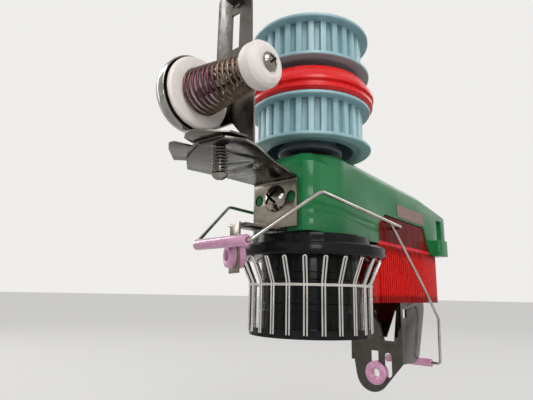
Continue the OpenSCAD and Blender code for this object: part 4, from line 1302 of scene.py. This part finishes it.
@dataclass
class Studio:
    """Pale floor and world, soft lights and the camera, all in metres."""

    floor_z: float = -0.165
    floor_half: float = 30.0
    floor_glow: float = 0.6
    pale: Color = (0.86, 0.85, 0.83)
    shade: Color = (0.68, 0.675, 0.665)
    ceiling: Color = (0.22, 0.22, 0.23)
    ceiling_span: tuple[float, float] = (0.60, 0.80)
    ambient: float = 0.65
    aim: Place = (0.0, -0.11, 0.0)
    lens: float = 29.72
    sensor: float = 36.0
    camera_at: Place = (0.1439, -0.3352, -0.0581)
    look: Place = (-0.6633, 0.7178, 0.2115)
    roll: float = 1.15
    lamps: tuple[Lamp, ...] = (
        Lamp("key", (0.75, -0.75, 0.75), (0.5, 0.7), 9),
        Lamp("side", (-0.9, -0.45, 0.5), (0.3, 0.9), 5),
        Lamp("rim", (0.35, 0.95, 0.55), (0.9, 0.4), 2),
        Lamp("low", (1.4, -1.5, 0.22), (0.5, 0.3), 5),
    )

    def floor(self) -> None:
        """Lay the pale floor, which glows for the camera and still takes the shadow."""
        work = bmesh.new()
        bmesh.ops.create_grid(work, x_segments=1, y_segments=1, size=self.floor_half)
        bmesh.ops.translate(work, verts=list(work.verts), vec=(0, 0, self.floor_z))
        mesh = bpy.data.meshes.new("floor")
        work.to_mesh(mesh)
        work.free()
        floor = bpy.data.objects.new("floor", mesh)
        bpy.context.scene.collection.objects.link(floor)
        graph = Graph("pale_floor")
        graph.set(Base_Color=self.shade, Roughness=0.8, Specular_IOR_Level=0.1)
        links = graph.tree.links
        glow = graph.node("Emission", Color=self.pale, Strength=1.0)
        share = graph.node("Math")
        share.operation = "MULTIPLY"
        share.inputs[1].default_value = self.floor_glow
        links.new(seen(graph.tree), share.inputs[0])
        choose = graph.node("MixShader", Fac=share.outputs[0])
        links.new(graph.shader.outputs[0], choose.inputs[1])
        links.new(glow.outputs[0], choose.inputs[2])
        links.new(choose.outputs[0], graph.tree.nodes["Material Output"].inputs["Surface"])
        mesh.materials.append(graph.material)
        floor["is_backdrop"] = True

    def surroundings(self) -> None:
        """Give the scene a pale world with a darker ceiling, plain where it is seen."""
        world = bpy.data.worlds.new("studio")
        bpy.context.scene.world = world
        world.use_nodes = True
        tree = world.node_tree
        tree.nodes.clear()
        place = add_node(tree, "TexCoord").outputs["Generated"]
        level = add_node(tree, "SeparateXYZ", Vector=place).outputs["Z"]
        share = add_node(tree, "MapRange", Value=level, From_Min=-1, From_Max=1)
        ramp = add_node(tree, "ValToRGB", Fac=share.outputs["Result"])
        stops = zip(ramp.color_ramp.elements, self.ceiling_span, (self.pale, self.ceiling))
        for stop, at, color in stops:
            stop.position, stop.color = at, (*color, 1)
        soft = add_node(tree, "Background", Color=ramp.outputs["Color"], Strength=self.ambient)
        plain = add_node(tree, "Background", Color=self.pale, Strength=1.0)
        choose = add_node(tree, "MixShader", Fac=seen(tree))
        tree.links.new(soft.outputs[0], choose.inputs[1])
        tree.links.new(plain.outputs[0], choose.inputs[2])
        add_node(tree, "OutputWorld", Surface=choose.outputs[0])

    def hang(self, lamp: Lamp) -> None:
        """Hang one light so that it faces the feeder.

        Args:
            lamp: The light.
        """
        data = bpy.data.lights.new(lamp.name, "AREA")
        data.shape = "RECTANGLE"
        data.size, data.size_y = lamp.size
        data.energy = lamp.power
        light = bpy.data.objects.new(lamp.name, data)
        light.location = lamp.place
        toward = Vector(self.aim) - Vector(lamp.place)
        light.rotation_euler = toward.to_track_quat("-Z", "Y").to_euler()
        bpy.context.scene.collection.objects.link(light)

    def camera(self) -> None:
        """Stand the camera where the photograph was taken from."""
        forward = Vector(self.look).normalized()
        right = forward.cross(Vector((0, 0, 1))).normalized()
        over = right.cross(forward)
        turn = math.radians(self.roll)
        across = right * math.cos(turn) + over * math.sin(turn)
        above = over * math.cos(turn) - right * math.sin(turn)
        data = bpy.data.cameras.new("camera")
        data.lens = self.lens
        data.sensor_width = self.sensor
        data.clip_start = 0.01
        camera = bpy.data.objects.new("camera", data)
        basis = Matrix((across, above, -forward)).transposed().to_4x4()
        camera.matrix_world = Matrix.Translation(self.camera_at) @ basis
        bpy.context.scene.collection.objects.link(camera)
        bpy.context.scene.camera = camera

    def build(self) -> None:
        """Make the studio."""
        self.floor()
        self.surroundings()
        for lamp in self.lamps:
            self.hang(lamp)
        self.camera()
        bpy.context.scene.view_settings.view_transform = "Standard"


def corners(bounds: tuple[Sequence[float], Sequence[float]]) -> list[list[float]]:
    """Two corners of a box as plain lists."""
    return [[float(value) for value in corner] for corner in bounds]


def main() -> None:
    """Load the frame, dress it, build the new pieces and the studio."""
    logging.basicConfig(level=logging.INFO, format="%(name)s: %(message)s")
    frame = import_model()
    packed = corners(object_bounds())
    for kind in (CastBody, YarnWheel, DriveStack, InletArm, Tensioner, Feelers, OutletGuide):
        assembly = kind(frame)
        assembly.build()
        for piece in assembly.made:
            LOG.info("%s: %s, %d faces", kind.__name__, piece.name, len(piece.data.polygons))
    Studio().build()
    bpy.context.view_layer.update()
    json.dumps({"cad": packed, "visual": corners(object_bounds())})


if __name__ == "__main__":
    main()
